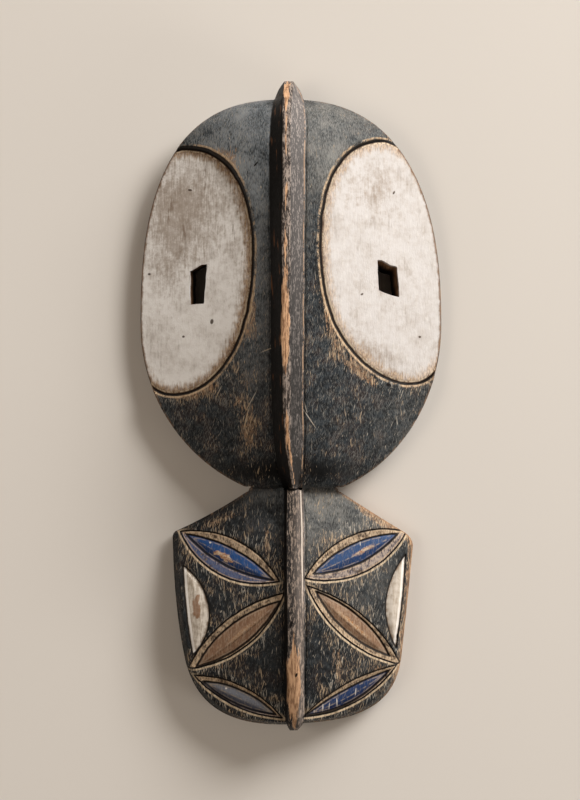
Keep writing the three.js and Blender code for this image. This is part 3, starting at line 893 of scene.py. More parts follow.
def match_loop(wanted, points, loop):
    """The corner numbers of a loop, in the order of the nearest wanted points."""
    tree = KDTree(len(loop))
    for i in loop:
        tree.insert((*points[i], 0), i)
    tree.balance()
    return [tree.find((x, y, 0))[1] for x, y in wanted]


class Surface:
    """The closed mask as it grows: rows of corners, and triangles with the part that each belongs to."""

    FRONT, WALL, BACK, TUNNEL = range(4)

    def __init__(self):
        self.corners, self.triangles, self.parts, self.count = [], [], [], 0

    def add_corners(self, corners):
        """Adds corners and gives their numbers."""
        self.corners.append(corners)
        self.count += len(corners)
        return np.arange(self.count - len(corners), self.count)

    def add_triangles(self, triangles, part):
        self.triangles.append(triangles)
        self.parts.append(np.full(len(triangles), part))

    def join(self, ring, below, part, turned):
        """Two triangles between each pair of neighbours of one ring and the ring below it."""
        after, after_below = np.roll(ring, -1), np.roll(below, -1)
        if turned:
            sides = (ring, after, after_below), (ring, after_below, below)
        else:
            sides = (ring, below, after_below), (ring, after_below, after)
        for side in sides:
            self.add_triangles(np.column_stack(side), part)


def add_wall(surface, flat, heights, rim_loop):
    """The side wall; gives the back rim's corner numbers and places."""
    edge = flat[rim_loop]
    away = away_from_centre(edge)
    from_notch = np.hypot(np.abs(edge[:, 0]) - NOTCH[0], edge[:, 1] - NOTCH[1])
    widest = edge + away * (RIM_INSET * smoothstep(0, NOTCH_REACH, from_notch))[:, None]
    lobe = onto_lobe(widest)
    top = heights[rim_loop]
    ring = np.array(rim_loop)
    around = np.concatenate([[0], np.cumsum(np.hypot(*np.diff(edge, axis=0).T))])
    for k, (inset, down, drawn) in enumerate(WALL_ROWS):
        wave = noise(around / 9, np.full(len(ring), k * 0.7), WALL_SEED)
        knife = (0.5 + 0.5 * wave) * KNIFE * (0.1 < down < 1)
        place = mix(widest, lobe, drawn) - away * (inset + knife)[:, None]
        below = surface.add_corners(np.column_stack([place, top * (1 - down)]))
        surface.join(ring, below, Surface.WALL, False)
        ring = below
    return ring, place


def add_back(surface, ring, rim, holes):
    """The back, joined to the rim; gives its corners, their numbers and its loops round the holes."""
    back, faces = back_mesh(rim, holes)
    loops = boundary_loops(faces)
    rim_numbers = dict(zip(match_loop(rim, back, loops[0]), ring))
    numbers = np.array([rim_numbers.get(i, -1) for i in range(len(back))])
    inner = numbers < 0
    numbers[inner] = surface.add_corners(np.column_stack([back, back_height(*back.T)])[inner])
    surface.add_triangles(numbers[faces][:, ::-1], Surface.BACK)
    return back, numbers, loops[1:]


def add_tunnel(surface, first, last):
    """An eye hole's wall between two rings of corner numbers."""
    every = np.vstack(surface.corners)
    ring = first
    for k in range(1, TUNNEL_ROWS):
        place = mix(every[first], every[last], k / TUNNEL_ROWS)
        wave = noise(np.arange(len(first)) / 3, k * 0.8, TUNNEL_SEED)
        place[:, :2] += wave[:, None] * TUNNEL_WAVE
        below = surface.add_corners(place)
        surface.join(ring, below, Surface.TUNNEL, True)
        ring = below
    surface.join(ring, last, Surface.TUNNEL, True)


def nearest_loop(loops, points, outline):
    """The corner numbers of the loop round an outline, in the outline's order."""
    loop = min(loops, key=lambda l: np.hypot(*(points[l].mean(0) - outline.mean(0))))
    return np.array(match_loop(outline, points, loop))


def build_surface():
    """Corners in millimetres and triangles of the whole closed mask, and each corner's side:
    0 on the front, -1 on the outer wall, 1 on the back, and up to 2 down the eye holes."""
    surface = Surface()
    (flat, faces), holes = front_mesh()
    rim_loop, *hole_loops = boundary_loops(faces)
    heights = front_height(*flat.T)
    surface.add_corners(np.column_stack([flat, heights]))
    surface.add_triangles(faces, Surface.FRONT)
    ring, rim = add_wall(surface, flat, heights, rim_loop)
    back_holes = []
    for hole, outline in zip(EYE_HOLES, holes):
        drop = back_height(*outline.T) - front_height(*outline.T)
        back_holes.append(outline + np.array(hole["lean"]) * drop[:, None])
    back, numbers, back_loops = add_back(surface, ring, rim, back_holes)
    for outline, behind in zip(holes, back_holes):
        last = numbers[nearest_loop(back_loops, back, behind)]
        add_tunnel(surface, nearest_loop(hole_loops, flat, outline), last)

    corners, triangles = np.vstack(surface.corners), np.vstack(surface.triangles)
    parts = np.concatenate(surface.parts)
    side = np.zeros(len(corners))
    side[np.unique(triangles[parts >= Surface.BACK])] = 1
    inside = np.unique(triangles[parts == Surface.TUNNEL])
    depth = front_height(*corners[inside, :2].T) - corners[inside, 2]
    # Down an eye hole the side grows from 1 to 2 with depth, and the paint turns that into shade.
    side[inside] = 1 + smoothstep(0, TUNNEL_SHADE_DEPTH, depth)
    side[np.unique(triangles[parts == Surface.WALL])] = -1
    side[np.unique(triangles[parts == Surface.FRONT])] = 0
    return corners, triangles, side


# Patches where the paint has worn through or thinned: x, y, half width, half height, turn, amount.
WORN = (
    (-47, 218.5, 12, 6, -35, 0.55), (-59, 234, 12, 9, 30, 0.3), (-36, 205, 5, 9, 30, 0.25),
    (-36, -20, 10, 22, 0, 0.92), (-45, 3, 5, 16, -30, 0.3), (-32, 64, 5, 34, 8, 0.62),
    (-43, 27, 9, 18, 35, 0.5), (-60, 10, 24, 6, -20, 0.4), (-88, 8, 16, 5, 0, 0.4),
    (60, 28, 24, 5, -38, 0.95), (16, 36, 4, 34, 0, 0.3), (33, 66, 5, 30, 12, 0.5),
    (42, 52, 5, 22, -30, 0.3), (55, -14, 6, 20, 5, 0.36), (44, -22, 4, 12, 0, 0.35),
    (92, 0, 8, 22, -20, 0.25), (62, 236, 18, 8, -25, 0.2), (-64, -100, 34, 6, 24, 0.6),
    (82, -99, 24, 8, -27, 1.0), (30, -108, 9, 16, 0, 0.35), (-21, -116, 4, 17, 0, 0.75),
    (-56, -122, 26, 6, -12, 0.45), (50, -114, 26, 6, 14, 0.55), (-48, -160, 34, 7, -4, 0.35),
    (32, -163, 18, 7, 0, 0.5), (-36, -196, 22, 8, 38, 0.4), (-62, -226, 20, 6, 12, 0.45),
    (38, -212, 20, 9, -35, 0.4), (40, -232, 6, 18, 0, 0.6), (78, -228, 14, 6, -8, 0.7),
    (72, -175, 9, 20, -10, 0.25), (-80, -178, 6, 30, 0, 0.25),
)
# Where dust lies on the black and where light and shade are painted on it, the same columns: a positive
# amount lightens the black, partly as dust and partly as painted light, and a negative amount darkens it as
# painted shade.
DUST_AND_PAINTED_LIGHT = (
    (0, 262, 110, 42, 0, 0.75), (62, 215, 46, 30, 0, 0.05), (28, 175, 14, 60, 0, 0.15),
    (-50, 195, 34, 46, 0, 1.3), (-32, 100, 14, 80, 0, 0.8), (36, 196, 16, 34, 0, 0.85),
    (0, -56, 70, 13, 0, -1.0), (-20, -78, 44, 8, 0, 0.5), (28, -78, 24, 9, 0, 0.4),
    (40, 110, 22, 54, 0, -1.0), (8, 150, 10, 90, 0, 0.6), (10, -100, 8, 60, 0, 0.6),
    (40, -96, 44, 22, 0, 0.75), (100, -40, 30, 70, 0, 0.25), (70, -160, 30, 60, 0, 0.3),
    (-24, -92, 20, 18, 0, 0.2),
)
# Where dirt lies on the eye fields.
DIRTY = (
    (-92, 184, 44, 36, 0, 0.75), (-84, 140, 36, 40, 0, 0.4), (-110, 130, 20, 50, 0, 0.4),
    (-44, 100, 8, 60, 0, 0.35), (66, 45, 22, 14, -38, 0.7), (88, 26, 16, 6, 0, 0.6),
    (70, 190, 34, 30, 0, 0.45), (84, 110, 34, 50, 0, 0.15),
)
# Where the dome's edge beside an eye field is rubbed.
FRINGES = (
    (-32, 62, 14, 38, 0, 0.8), (-66, 10, 36, 14, 0, 0.75), (-50, 217, 18, 12, -30, 1.35),
    (52, 36, 28, 14, -38, 0.4), (34, 110, 10, 60, 0, 0.45), (36, 180, 12, 40, 20, 0.35),
)
# Where the ridge is rubbed down to the wood, and less so where the amount is negative.
RIDGE_WORN = (
    (-5, 11, 12, 13, 0, -0.6), (-4, 268, 12, 14, 0, 0.6), (-6, 170, 12, 80, 0, 0.16),
    (-6, 70, 14, 44, 0, 0.95), (-4, -22, 14, 26, 0, 0.38), (1, -238, 14, 34, 0, 1.5),
)
# The eye fields' whites: the left one painted lighter as painted light and the right one darker as painted
# shade, evening out how the lamps fall on them.
LEFT_WHITE_WITH_PAINTED_LIGHT = (249, 246, 243)
RIGHT_WHITE_WITH_PAINTED_SHADE = (205, 200, 197)
# Near-black, painted as shade in the cuts round the leaves, half-moons and eye fields and in the groove
# round each pillow, and the colour of the small dark marks off the eye fields.
SHADE_AND_MARK_DARK = (17, 13, 12)
FACE_Y = -40  # the eye fields' colour and wear are above it
STRIP_WEAR, STRIP_PAINT = 0.62, 0.5  # bare wood along the shield's right edge, and paint along its left
CLAMP = 30

# Small marks: x, y, half length, half width, turn of the length from +X.
DARK_MARKS = (
    (-87.3, 186.8, 1.9, 0.9, -8), (-68, 72.6, 2.2, 1.4, 80), (-123.4, 114.8, 1.3, 1.0, 0),
    (89.1, 184.6, 1.6, 0.8, 60), (64.9, 35.5, 1.6, 1.2, 20), (84, 18.4, 1.8, 1.4, 0),
    (92.3, -199, 2.6, 1.0, 80), (1.2, -71.6, 5.2, 1.2, 2), (4.6, -229.4, 1.9, 0.9, 70),
    (0, -186, 3.5, 1.4, 70), (-30, 206, 2.4, 0.7, 50), (-93, 60, 1.2, 0.9, 0), (61, 96, 1.3, 0.8, 30),
    (112, 60, 1.2, 0.9, 0),
)
SMEARS = (
    (-74.5, 203, 8, 1.8, 86), (-73.5, 190, 4, 1.2, 80), (-104, 172, 12, 2.5, 76),
    (-116, 190, 7, 2.0, 66), (-92, 150, 9, 1.6, 95), (-57, 214, 5, 1.6, 60), (-49, 150, 9, 1.5, 96),
    (-96, 128, 8, 1.4, 90),
)
OCHRE_MARKS = (
    (-56.6, -131, 7.5, 3.0, -32), (-63, -127.5, 4, 2.4, -20),
)
BROWN_MARKS = (
    (-81.8, -175, 9, 3.4, 97), (-68, 75, 2.0, 1.2, 10), (-81.5, -168, 5, 2.2, 70),
)
PALE_MARKS = (
    (-17, 49, 9, 0.45, 21), (15.4, -10, 10, 0.45, -56), (12.5, -1, 5, 0.4, -75),
    (-34, 4.3, 9.5, 0.45, 61), (-38, -10, 10, 0.45, 75), (27.5, -260, 3.6, 0.5, 88),
    (39.7, -256, 4.0, 0.5, 93), (33, -259, 3.0, 0.4, 84), (20, -262, 2.6, 0.4, 95),
    (56, -247, 3.4, 0.4, 85), (60, -118, 3.0, 0.4, 92), (-62, 12, 6, 0.4, 65),
    (-70, -118.5, 1.0, 0.8, 0), (-56, -244, 1.0, 0.8, 0), (-34, -248, 1.1, 0.8, 0),
)


def patches(rows, x, y):
    total = np.zeros(len(x))
    for px, py, width, height, turn, amount in rows:
        t = math.radians(turn)
        u = (x - px) * math.cos(t) + (y - py) * math.sin(t)
        v = (y - py) * math.cos(t) - (x - px) * math.sin(t)
        total += amount * np.exp(-((u / width) ** 2 + (v / height) ** 2))
    return total


def clamp(values):
    return np.clip(values, -CLAMP, CLAMP)


def leaf_fields(x, y):
    """Distances inside the nearest leaf and the nearest pillow and above the leaf's crest, how much
    that crest is worn here, and the pillow's paint."""
    cuts = np.array([leaf["cut"].inside(x, y, CUT_SEED) for leaf in LEAVES])
    nearest = cuts.argmax(0)
    of_nearest = lambda rows: np.array(rows)[nearest, np.arange(len(x))]
    pillows = [leaf["pillow"] for leaf in LEAVES]
    in_pillow = np.max([lens.inside(x, y, PILLOW_SEED) for lens in pillows], axis=0)
    right, left = PILLOW_CREST_SHARE, 1 - PILLOW_CREST_SHARE
    crest = of_nearest([lens.from_arc(-1, x, y) * right - lens.from_arc(1, x, y) * left for lens in pillows])
    middle, reach, amount = np.array([leaf["wear"] for leaf in LEAVES])[nearest].T
    way = of_nearest([lens.share_along(x, y) for lens in pillows])
    shine = amount * np.exp(-(((way - middle) / reach) ** 2))
    colours = np.array([paint(*leaf["paint"]) for leaf in LEAVES])[nearest]
    return clamp(cuts.max(0)), clamp(in_pillow), clamp(crest), shine, colours


def fields(corners, side):
    """What the paint depends on, at each corner: rows of three values."""
    x, y = corners[:, :2].T
    on_front = lambda values: np.where(side < 0, -CLAMP, values)
    eye = np.max([clamp(eye_inside(e, x, y)) for e in EYES], axis=0)
    leaf, pillow, crest, shine, colours = leaf_fields(x, y)
    moons = np.array([moon.inside(x, y, MOON_SEED) for moon in MOONS])
    chord = np.where(moons.argmax(0), MOONS[1].from_arc(-1, x, y), MOONS[0].from_arc(-1, x, y))
    upper = y > UPPER["centre"][1] - NECK_REACH
    ridges = zip(ridge_lines(UPPER_RIDGE, y), ridge_lines(LOWER_RIDGE, y))
    left_foot, left_arris, right_arris, right_foot, _ = (np.where(upper, a, b) for a, b in ridges)
    rim_upper, rim_lower = distance_inside(upper_share, x, y), distance_inside(lower_share, x, y)
    rim = np.where(np.abs(x) < 20, CLAMP, clamp(np.maximum(rim_upper, rim_lower)))
    on_face = y > FACE_Y
    # The eye fields take the whites, the left one painted lighter and the right one darker, as painted light
    # and shade.
    colours[on_face] = paint(*RIGHT_WHITE_WITH_PAINTED_SHADE)
    colours[on_face & (x < 0)] = paint(*LEFT_WHITE_WITH_PAINTED_LIGHT)

    on_shield = smoothstep(-70, -74, y)
    right_strip = smoothstep(6.2, 4.5, rim_lower) * smoothstep(30, 80, x) * smoothstep(-262, -225, y)
    left_strip = smoothstep(7, 4, rim_lower) * smoothstep(-30, -80, x)
    wear = patches(WORN, x, y) + patches(FRINGES, x, y) * smoothstep(-13, -4, eye) * on_face
    wear = wear + (STRIP_WEAR * right_strip - STRIP_PAINT * left_strip) * on_shield
    by_leaf = smoothstep(-16, -2, leaf) * on_shield
    by_eye = smoothstep(-16, -2, eye) * smoothstep(60, 20, y)
    stroked = 0.5 * by_leaf + 0.4 * by_eye + 0.1 * on_shield + 0.6 * wear - 0.25 * smoothstep(120, 200, y)
    # The upper left, where the pale lip and the band painted as shade beside the left eye's wall reach
    # further out.
    upper_left = smoothstep(-32, -40, x) * smoothstep(168, 208, y)
    rows = {
        "edges": (on_front(eye), on_front(leaf), on_front(pillow)),
        "lines": (crest, on_front(clamp(moons.max(0))), clamp(chord)),
        "ridge": (x - left_arris, right_arris - x, np.minimum(x - left_foot, right_foot - x)),
        "places": (rim, wear, np.maximum(side, 0)),
        "dust": (patches(DUST_AND_PAINTED_LIGHT, x, y), patches(DIRTY, x, y), shine),
        "wear": (patches(RIDGE_WORN, x, y), stroked, on_shield - upper_left),
        "tint": colours.T,
    }
    return {name: clamp(np.column_stack(values)) for name, values in rows.items()}


def paint(red, green, blue):
    """A colour from its usual 0 to 255 numbers."""
    values = np.array([red, green, blue]) / 255
    return tuple(np.where(values <= 0.04045, values / 12.92, ((values + 0.055) / 1.055) ** 2.4).tolist())


class Paint:
    """Builds a material's nodes; a value may be a number, a colour from 0 to 255 or a node's output."""

    def __init__(self, name):
        self.material = bpy.data.materials.new(name)
        self.material.use_nodes = True
        self.tree = self.material.node_tree
        self.shader = self.tree.nodes["Principled BSDF"]
        self.place = self.node("TexCoord").outputs["Object"]

    def node(self, kind, *values, **settings):
        node = self.tree.nodes.new("ShaderNode" + kind)
        for name, value in settings.items():
            setattr(node, name, value)
        for socket, value in zip(node.inputs, values):
            self.put(socket, value)
        return node

    def put(self, socket, value):
        if isinstance(value, bpy.types.NodeSocket):
            self.tree.links.new(value, socket)
        else:
            socket.default_value = (*paint(*value), 1) if socket.type == "RGBA" else value

    def chain(self, operation, values):
        total = values[0]
        for value in values[1:]:
            total = self.node("Math", total, value, operation=operation).outputs[0]
        return total

    def add(self, *values):
        return self.chain("ADD", values)

    def times(self, *values):
        return self.chain("MULTIPLY", values)

    def most(self, *values):
        return self.chain("MAXIMUM", values)

    def least(self, *values):
        return self.chain("MINIMUM", values)

    def absolute(self, value):
        return self.node("Math", value, operation="ABSOLUTE").outputs[0]

    def swing(self, value, size):
        """A noise turned into a change round 0."""
        return self.times(self.add(value, -0.5), size)

    def rise(self, value, low, high):
        """0 at low and 1 at high, which may be the smaller of the two."""
        return self.node("MapRange", value, low, high, interpolation_type="SMOOTHSTEP").outputs[0]

    def band(self, value, low, high, soft):
        """1 between low and high, with soft ends."""
        rising = self.rise(value, low - soft, low + soft)
        return self.times(rising, self.rise(value, high + soft, high - soft))

    def mix(self, share, a, b):
        return self.node("MixRGB", share, a, b).outputs[0]

    def cover(self, colour, top, *shares):
        """A colour with another one over it, as much as the shares' product says."""
        return self.mix(self.times(*shares), colour, top)

    def attribute(self, name):
        vector = self.node("Attribute", attribute_name=name).outputs["Vector"]
        return self.node("SeparateXYZ", vector).outputs[:]

    def mapping(self, location, turn, scale):
        place = self.node("Mapping", self.place, vector_type="TEXTURE")
        self.put(place.inputs["Location"], location)
        self.put(place.inputs["Rotation"], (0, 0, math.radians(turn)))
        self.put(place.inputs["Scale"], scale)
        return place.outputs[0]

    def mapped(self, size, turn, shift):
        size = size if isinstance(size, tuple) else (size, size, size)
        location = (shift * 0.37, shift * 0.61, shift * 0.83)
        return self.mapping(location, turn, tuple(side * MM for side in size))

    def noise(self, size, detail=2, rough=0.55, turn=0, shift=0, twist=0):
        """Cloudy noise round 0.5; size is that of its shapes in millimetres."""
        node = self.node("TexNoise", self.mapped(size, turn, shift))
        self.put(node.inputs["Scale"], 1)
        self.put(node.inputs["Detail"], detail)
        self.put(node.inputs["Roughness"], rough)
        self.put(node.inputs["Distortion"], twist)
        return node.outputs[0]

    def marks(self, rows, edge=0.25):
        """1 inside each of some ellipses, whatever their height."""
        total = 0
        for x, y, half_length, half_width, turn in rows:
            place = self.mapping((x * MM, y * MM, 0), turn, (half_length * MM, half_width * MM, 1000))
            length = self.node("VectorMath", place, operation="LENGTH").outputs["Value"]
            total = self.most(total, self.rise(length, 1 + edge, 1 - edge))
        return total

    def fibres(self, width, length, turn, shift, more):
        """Thin uneven hairs along one direction; they are many where more is 1 and few where it is 0."""
        hairs = self.noise((width, length, length), 1, 0.5, turn, shift, 0.7)
        return self.rise(self.add(hairs, self.times(more, 0.11)), 0.715, 0.78)

    def dashes(self, width, length, turn, shift, share):
        """Short scratches, each in a cell of its own, in a share of the cells."""
        spread = 0.42
        node = self.node("TexVoronoi", self.mapped((width / spread, length / spread, 12), turn, shift))
        self.put(node.inputs["Scale"], 1)
        colour = self.node("SeparateXYZ", node.outputs["Color"]).outputs[0]
        picked = self.node("Math", colour, share, operation="LESS_THAN").outputs[0]
        return self.times(self.rise(node.outputs["Distance"], spread * 0.55, spread * 0.35), picked)


class MaskPaint(Paint):
    """The mask's attributes, and the noises, strokes and wood that its painted parts share."""

    def __init__(self):
        super().__init__("worn_painted_wood")
        self.eye, self.leaf, self.pillow = self.attribute("edges")
        self.crest, self.moon, self.chord = self.attribute("lines")
        self.left_arris, self.right_arris, self.foot = self.attribute("ridge")
        self.rim, self.worn, self.back = self.attribute("places")
        self.dust, self.dirt, self.shine = self.attribute("dust")
        self.ridge_worn, self.stroked, self.low = self.attribute("wear")
        self.tint = self.node("Attribute", attribute_name="tint").outputs["Color"]
        self.left_half = self.rise(self.node("SeparateXYZ", self.place).outputs[0], 0.002, -0.002)
        red, _, blue = self.node("SeparateColor", self.tint).outputs
        self.blue_leaf = self.rise(self.add(blue, self.times(red, -1)), 0.0, 0.02)
        self.low_side = self.rise(self.crest, 1, -2)

        self.clouds = self.noise(16, 3)
        self.mottle = self.noise(5, 3, shift=1)
        self.speckle = self.noise(1.6, 2, shift=2)
        self.grain = self.noise((1.3, 11, 6), 3, 0.6, shift=3)
        self.streaks = self.noise((2.2, 22, 10), 2, shift=4)
        self.fleck = self.noise((0.9, 3.2, 2), 2, 0.6, shift=5)
        self.patchy = self.swung(self.mottle, speckle=0.4)

        wood = self.mix(self.rise(self.grain, 0.3, 0.7), (112, 83, 60), (188, 150, 116))
        self.wood = self.cover(wood, (120, 92, 68), self.rise(self.mottle, 0.4, 0.75), 0.6)
        self.pale_wood = self.mix(self.rise(self.fleck, 0.3, 0.7), (160, 130, 100), (206, 182, 152))

        # Knife and brush strokes that let the wood show, more of them where the surface is stroked.
        dense = self.rise(self.swung(self.stroked, clouds=0.9, mottle=0.5, streaks=0.8), -0.1, 0.6)
        self.hairs = self.most(self.fibres(0.75, 9, 7, 13, dense), self.fibres(0.7, 7, -16, 14, dense))
        self.pale = self.marks(PALE_MARKS)
        dashes = self.times(self.dashes(0.5, 8.5, 3, 11, 0.5), dense)
        self.strokes = self.most(dashes, self.hairs, self.pale)
        self.dark_marks = self.marks(DARK_MARKS)

        # Where the black has gone: fringes of streaks round each worn patch.
        torn = self.swung(self.worn, grain=1.5, mottle=0.7, fleck=0.8)
        self.bared = self.rise(self.add(torn, self.times(self.hairs, 0.15)), 0.55, 0.75)

    def swung(self, value, **sizes):
        """A value with some of the noises added, each turned into a change round 0."""
        return self.add(value, *(self.swing(getattr(self, name), size) for name, size in sizes.items()))


def black_ground(m):
    """The black ground, mottled blue-grey and brown, with dust, painted light and shade, scratches and
    strokes on it.
    """
    black = m.mix(m.rise(m.mottle, 0.35, 0.7), (24, 26, 29), (50, 56, 61))
    black = m.cover(black, (50, 39, 38), m.rise(m.clouds, 0.46, 0.66), 0.7)
    black = m.cover(black, (14, 14, 15), m.low, 0.4)
    black = m.cover(black, (90, 92, 92), m.rise(m.fleck, 0.5, 0.64), m.add(0.5, m.times(m.low, -0.25)))
    black = m.cover(black, (12, 12, 13), m.rise(m.fleck, 0.45, 0.32), 0.6)
    # Dust, and patches painted lighter as painted light, over the black.
    dust = m.mix(m.left_half, (127, 126, 122), (125, 130, 134))
    black = m.cover(black, dust, m.dust, m.rise(m.add(m.clouds, m.fleck), 0.6, 1.3))
    more = m.add(0.75, m.swing(m.clouds, 2.5), m.times(m.low, -0.5))
    scratches = m.most(m.fibres(0.6, 5, 3, 15, more), m.fibres(0.5, 6, -28, 16, more))
    black = m.cover(black, (148, 146, 140), scratches, 0.45)
    # Where the amount is negative, the black is painted near-black as painted shade.
    black = m.cover(black, (10, 10, 11), m.rise(m.dust, 0, -1))
    stroke = m.mix(m.rise(m.clouds, 0.4, 0.6), (196, 188, 176), (190, 166, 136))
    return m.cover(black, stroke, m.strokes, 0.7)


def ridge_paint(m):
    """The ridge: a left side painted near-black as shade, a dark right side, a rubbed crest bare along its
    left arris and painted as shading on the shield, and two pale lines on its right that are partly worn
    wood and partly painted highlight.
    """
    rubbed = m.swung(m.grain, fleck=0.8)
    crest = m.mix(m.rise(rubbed, 0.4, 0.62), (56, 50, 47), (160, 146, 136))
    # On the shield the crest is painted darker by its left arris and lighter towards the right, as shading
    # across it.
    nose = m.mix(m.rise(m.left_arris, 1, 11), (36, 34, 34), (92, 84, 79))
    nose = m.cover(nose, (168, 150, 136), m.rise(rubbed, 0.48, 0.66), 0.7)
    crest = m.mix(m.low, crest, nose)
    streaked = (m.rise(m.streaks, 0.6, 0.68), m.rise(m.grain, 0.35, 0.6), m.add(0.6, m.times(m.low, -0.6)))
    # The left side is painted near-black as shade, with streaks of worn wood.
    left_side_in_painted_shade = m.cover((9, 7, 7), (124, 82, 52), *streaked)
    greyed = m.rise(m.swung(m.grain, fleck=0.9), 0.5, 0.66)
    greyed = m.most(m.times(greyed, m.add(0.2, m.times(m.dust, 0.6))), m.times(m.hairs, 0.7))
    flank = m.mix(greyed, m.mix(m.dust, (44, 42, 41), (104, 99, 97)), (164, 154, 148))
    ridge = m.mix(m.rise(m.left_arris, -0.6, 0.2), left_side_in_painted_shade, flank)
    inside_right = m.rise(m.add(m.right_arris, m.times(m.low, 5)), -0.8, 0.4)
    ridge = m.cover(ridge, crest, m.rise(m.left_arris, -0.5, 0.3), inside_right)
    bare = m.absolute(m.add(m.left_arris, -2.6, m.times(m.low, -2.4)))
    bare = m.times(bare, m.add(-0.22, m.times(m.low, 0.09)))
    bare = m.add(m.ridge_worn, m.swing(m.streaks, 1.3), m.swing(m.grain, 0.9), bare, m.times(m.low, -0.25))
    bright = m.mix(m.rise(m.swung(m.grain, fleck=0.5), 0.32, 0.6), (132, 96, 70), (216, 172, 134))
    bright = m.cover(bright, m.wood, m.low, 0.6)
    ridge = m.cover(ridge, bright, m.rise(bare, 0.02, 0.2), m.rise(m.left_arris, -1.8, -0.5), 0.94)
    # Two pale lines along the right side, where the light falls: partly worn wood and partly painted
    # highlight.
    on_right, broken = m.rise(m.left_arris, 2, 4), m.swung(m.streaks, speckle=0.6)
    foot_highlight = (m.band(m.foot, 0.4, 1.2, 0.35), on_right, m.rise(broken, 0.42, 0.56))
    ridge = m.cover(ridge, (186, 152, 122), *foot_highlight, m.add(0.7, m.times(m.low, -0.7)))
    nose_highlight = (m.band(m.foot, 2.0, 2.9, 0.35), on_right, m.rise(m.dust, 0.05, 0.4), m.low)
    return m.cover(ridge, (222, 208, 194), *nose_highlight)


def worn_ground(m):
    """The black ground with its bare patches, rubbed edges and ridge, and a dark band painted as shade on
    each eye field's wall.
    """
    worn_wood = m.mix(m.rise(m.mottle, 0.35, 0.65), m.wood, (122, 104, 88))
    kept = m.most(m.rise(m.fleck, 0.5, 0.42), m.times(m.rise(m.speckle, 0.5, 0.42), 0.6))
    ground = m.cover(black_ground(m), worn_wood, m.bared, m.add(0.88, m.times(kept, -0.6)))
    ground = m.cover(ground, (214, 190, 158), m.strokes, m.bared, 0.6)
    from_cut = m.add(m.eye, m.times(m.least(m.low, 0), -1.3))
    lip_wear = m.add(m.mottle, m.clouds, m.swing(m.speckle, 0.8), m.times(m.worn, 0.6))
    lip = (m.band(from_cut, -3.9, -1.9, 0.5), m.rise(lip_wear, 0.85, 1.2))
    ground = m.cover(ground, m.pale_wood, *lip, 0.85)
    # A dark band on each eye field's wall, partly its black paint and partly painted shade, reaching further
    # out at the upper left where the shadow falls longer.
    ground = m.cover(ground, (28, 22, 19), m.rise(from_cut, -2.5, -1.9), m.rise(m.eye, 0.3, -0.3), 0.9)
    leaf_edge = m.mix(m.rise(m.grain, 0.3, 0.6), (124, 103, 80), (212, 190, 160))
    below_leaf = m.rise(m.swung(m.crest, mottle=16), 6, -4)
    ground = m.cover(ground, leaf_edge, m.band(m.leaf, -2.2, -0.7, 0.4), below_leaf, 0.85)
    ground = m.cover(ground, ridge_paint(m), m.rise(m.foot, -0.4, 0.4), m.rise(m.eye, 0.5, -0.5))
    rim_wear = m.rise(m.add(m.mottle, m.grain, m.times(m.worn, 0.5)), 0.85, 1.2)
    return m.cover(ground, m.wood, m.rise(m.rim, 3.0, 0.5), rim_wear, 0.7)


def white_field(m):
    """The white eye fields, whose whites carry painted light and shade, with their dirt, brown rubbed
    margins and pale lip.
    """
    white = m.cover(m.tint, (164, 150, 136), m.rise(m.add(m.clouds, m.mottle), 0.75, 1.35), 0.3)
    white = m.cover(white, (240, 236, 230), m.rise(m.grain, 0.5, 0.75), 0.25)
    dirty = m.swung(m.dirt, mottle=0.8, clouds=0.5, grain=1.3, speckle=0.6)
    white = m.cover(white, (134, 110, 86), m.rise(dirty, 0.1, 1.1), 0.66)
    smudge = m.swung(m.clouds, streaks=1.3, fleck=0.4)
    white = m.cover(white, (124, 108, 94), m.rise(smudge, 0.6, 0.9), 0.25)
    margin = m.swung(m.eye, grain=-12, mottle=-8)
    tan = m.mix(m.rise(m.fleck, 0.35, 0.65), (118, 84, 54), (208, 176, 138))
    tan = m.cover(tan, (110, 78, 50), m.left_half, 0.35)
    white = m.cover(white, tan, m.rise(margin, 10.5, 2.0), m.add(0.62, m.times(m.left_half, 0.28)))
    white = m.cover(white, (88, 60, 40), m.rise(m.add(m.eye, m.times(m.speckle, -2)), 1.6, -0.2), 0.75)
    white = m.cover(white, (112, 82, 56), m.rise(m.add(m.rim, m.times(m.mottle, -3)), 2.0, -0.2), 0.85)
    broken = m.rise(m.swung(m.streaks, speckle=0.6), 0.36, 0.56)
    white = m.cover(white, (232, 214, 186), m.band(m.eye, 0.7, 1.8, 0.35), broken, 0.75)
    smear = m.swung(m.times(m.marks(SMEARS, 0.8), 0.75), grain=1.6, mottle=0.8)
    white = m.cover(white, (112, 88, 66), m.rise(smear, 0.35, 0.95), 0.5)
    return m.cover(white, (62, 44, 30), m.dark_marks, 0.9)


def leaf_border(m):
    """A leaf's worn border with its pale edges."""
    border = m.mix(m.rise(m.add(m.mottle, m.fleck), 0.8, 1.2), (74, 61, 51), (190, 168, 142))
    border = m.cover(border, m.pale_wood, m.hairs, 0.6, m.add(1, m.times(m.blue_leaf, m.low_side, -0.7)))
    tinted = (m.blue_leaf, m.low_side, m.rise(m.mottle, 0.3, 0.5), m.add(0.3, m.times(m.left_half, 0.55)))
    border = m.cover(border, (50, 74, 116), *tinted)
    border = m.cover(border, m.pale_wood, m.band(m.leaf, 1.1, 1.9, 0.35), m.rise(m.patchy, 0.3, 0.5), 0.75)
    inner_line = (m.band(m.pillow, -2.6, -1.8, 0.35), m.rise(m.patchy, 0.36, 0.56))
    return m.cover(border, m.pale_wood, *inner_line, 0.6)


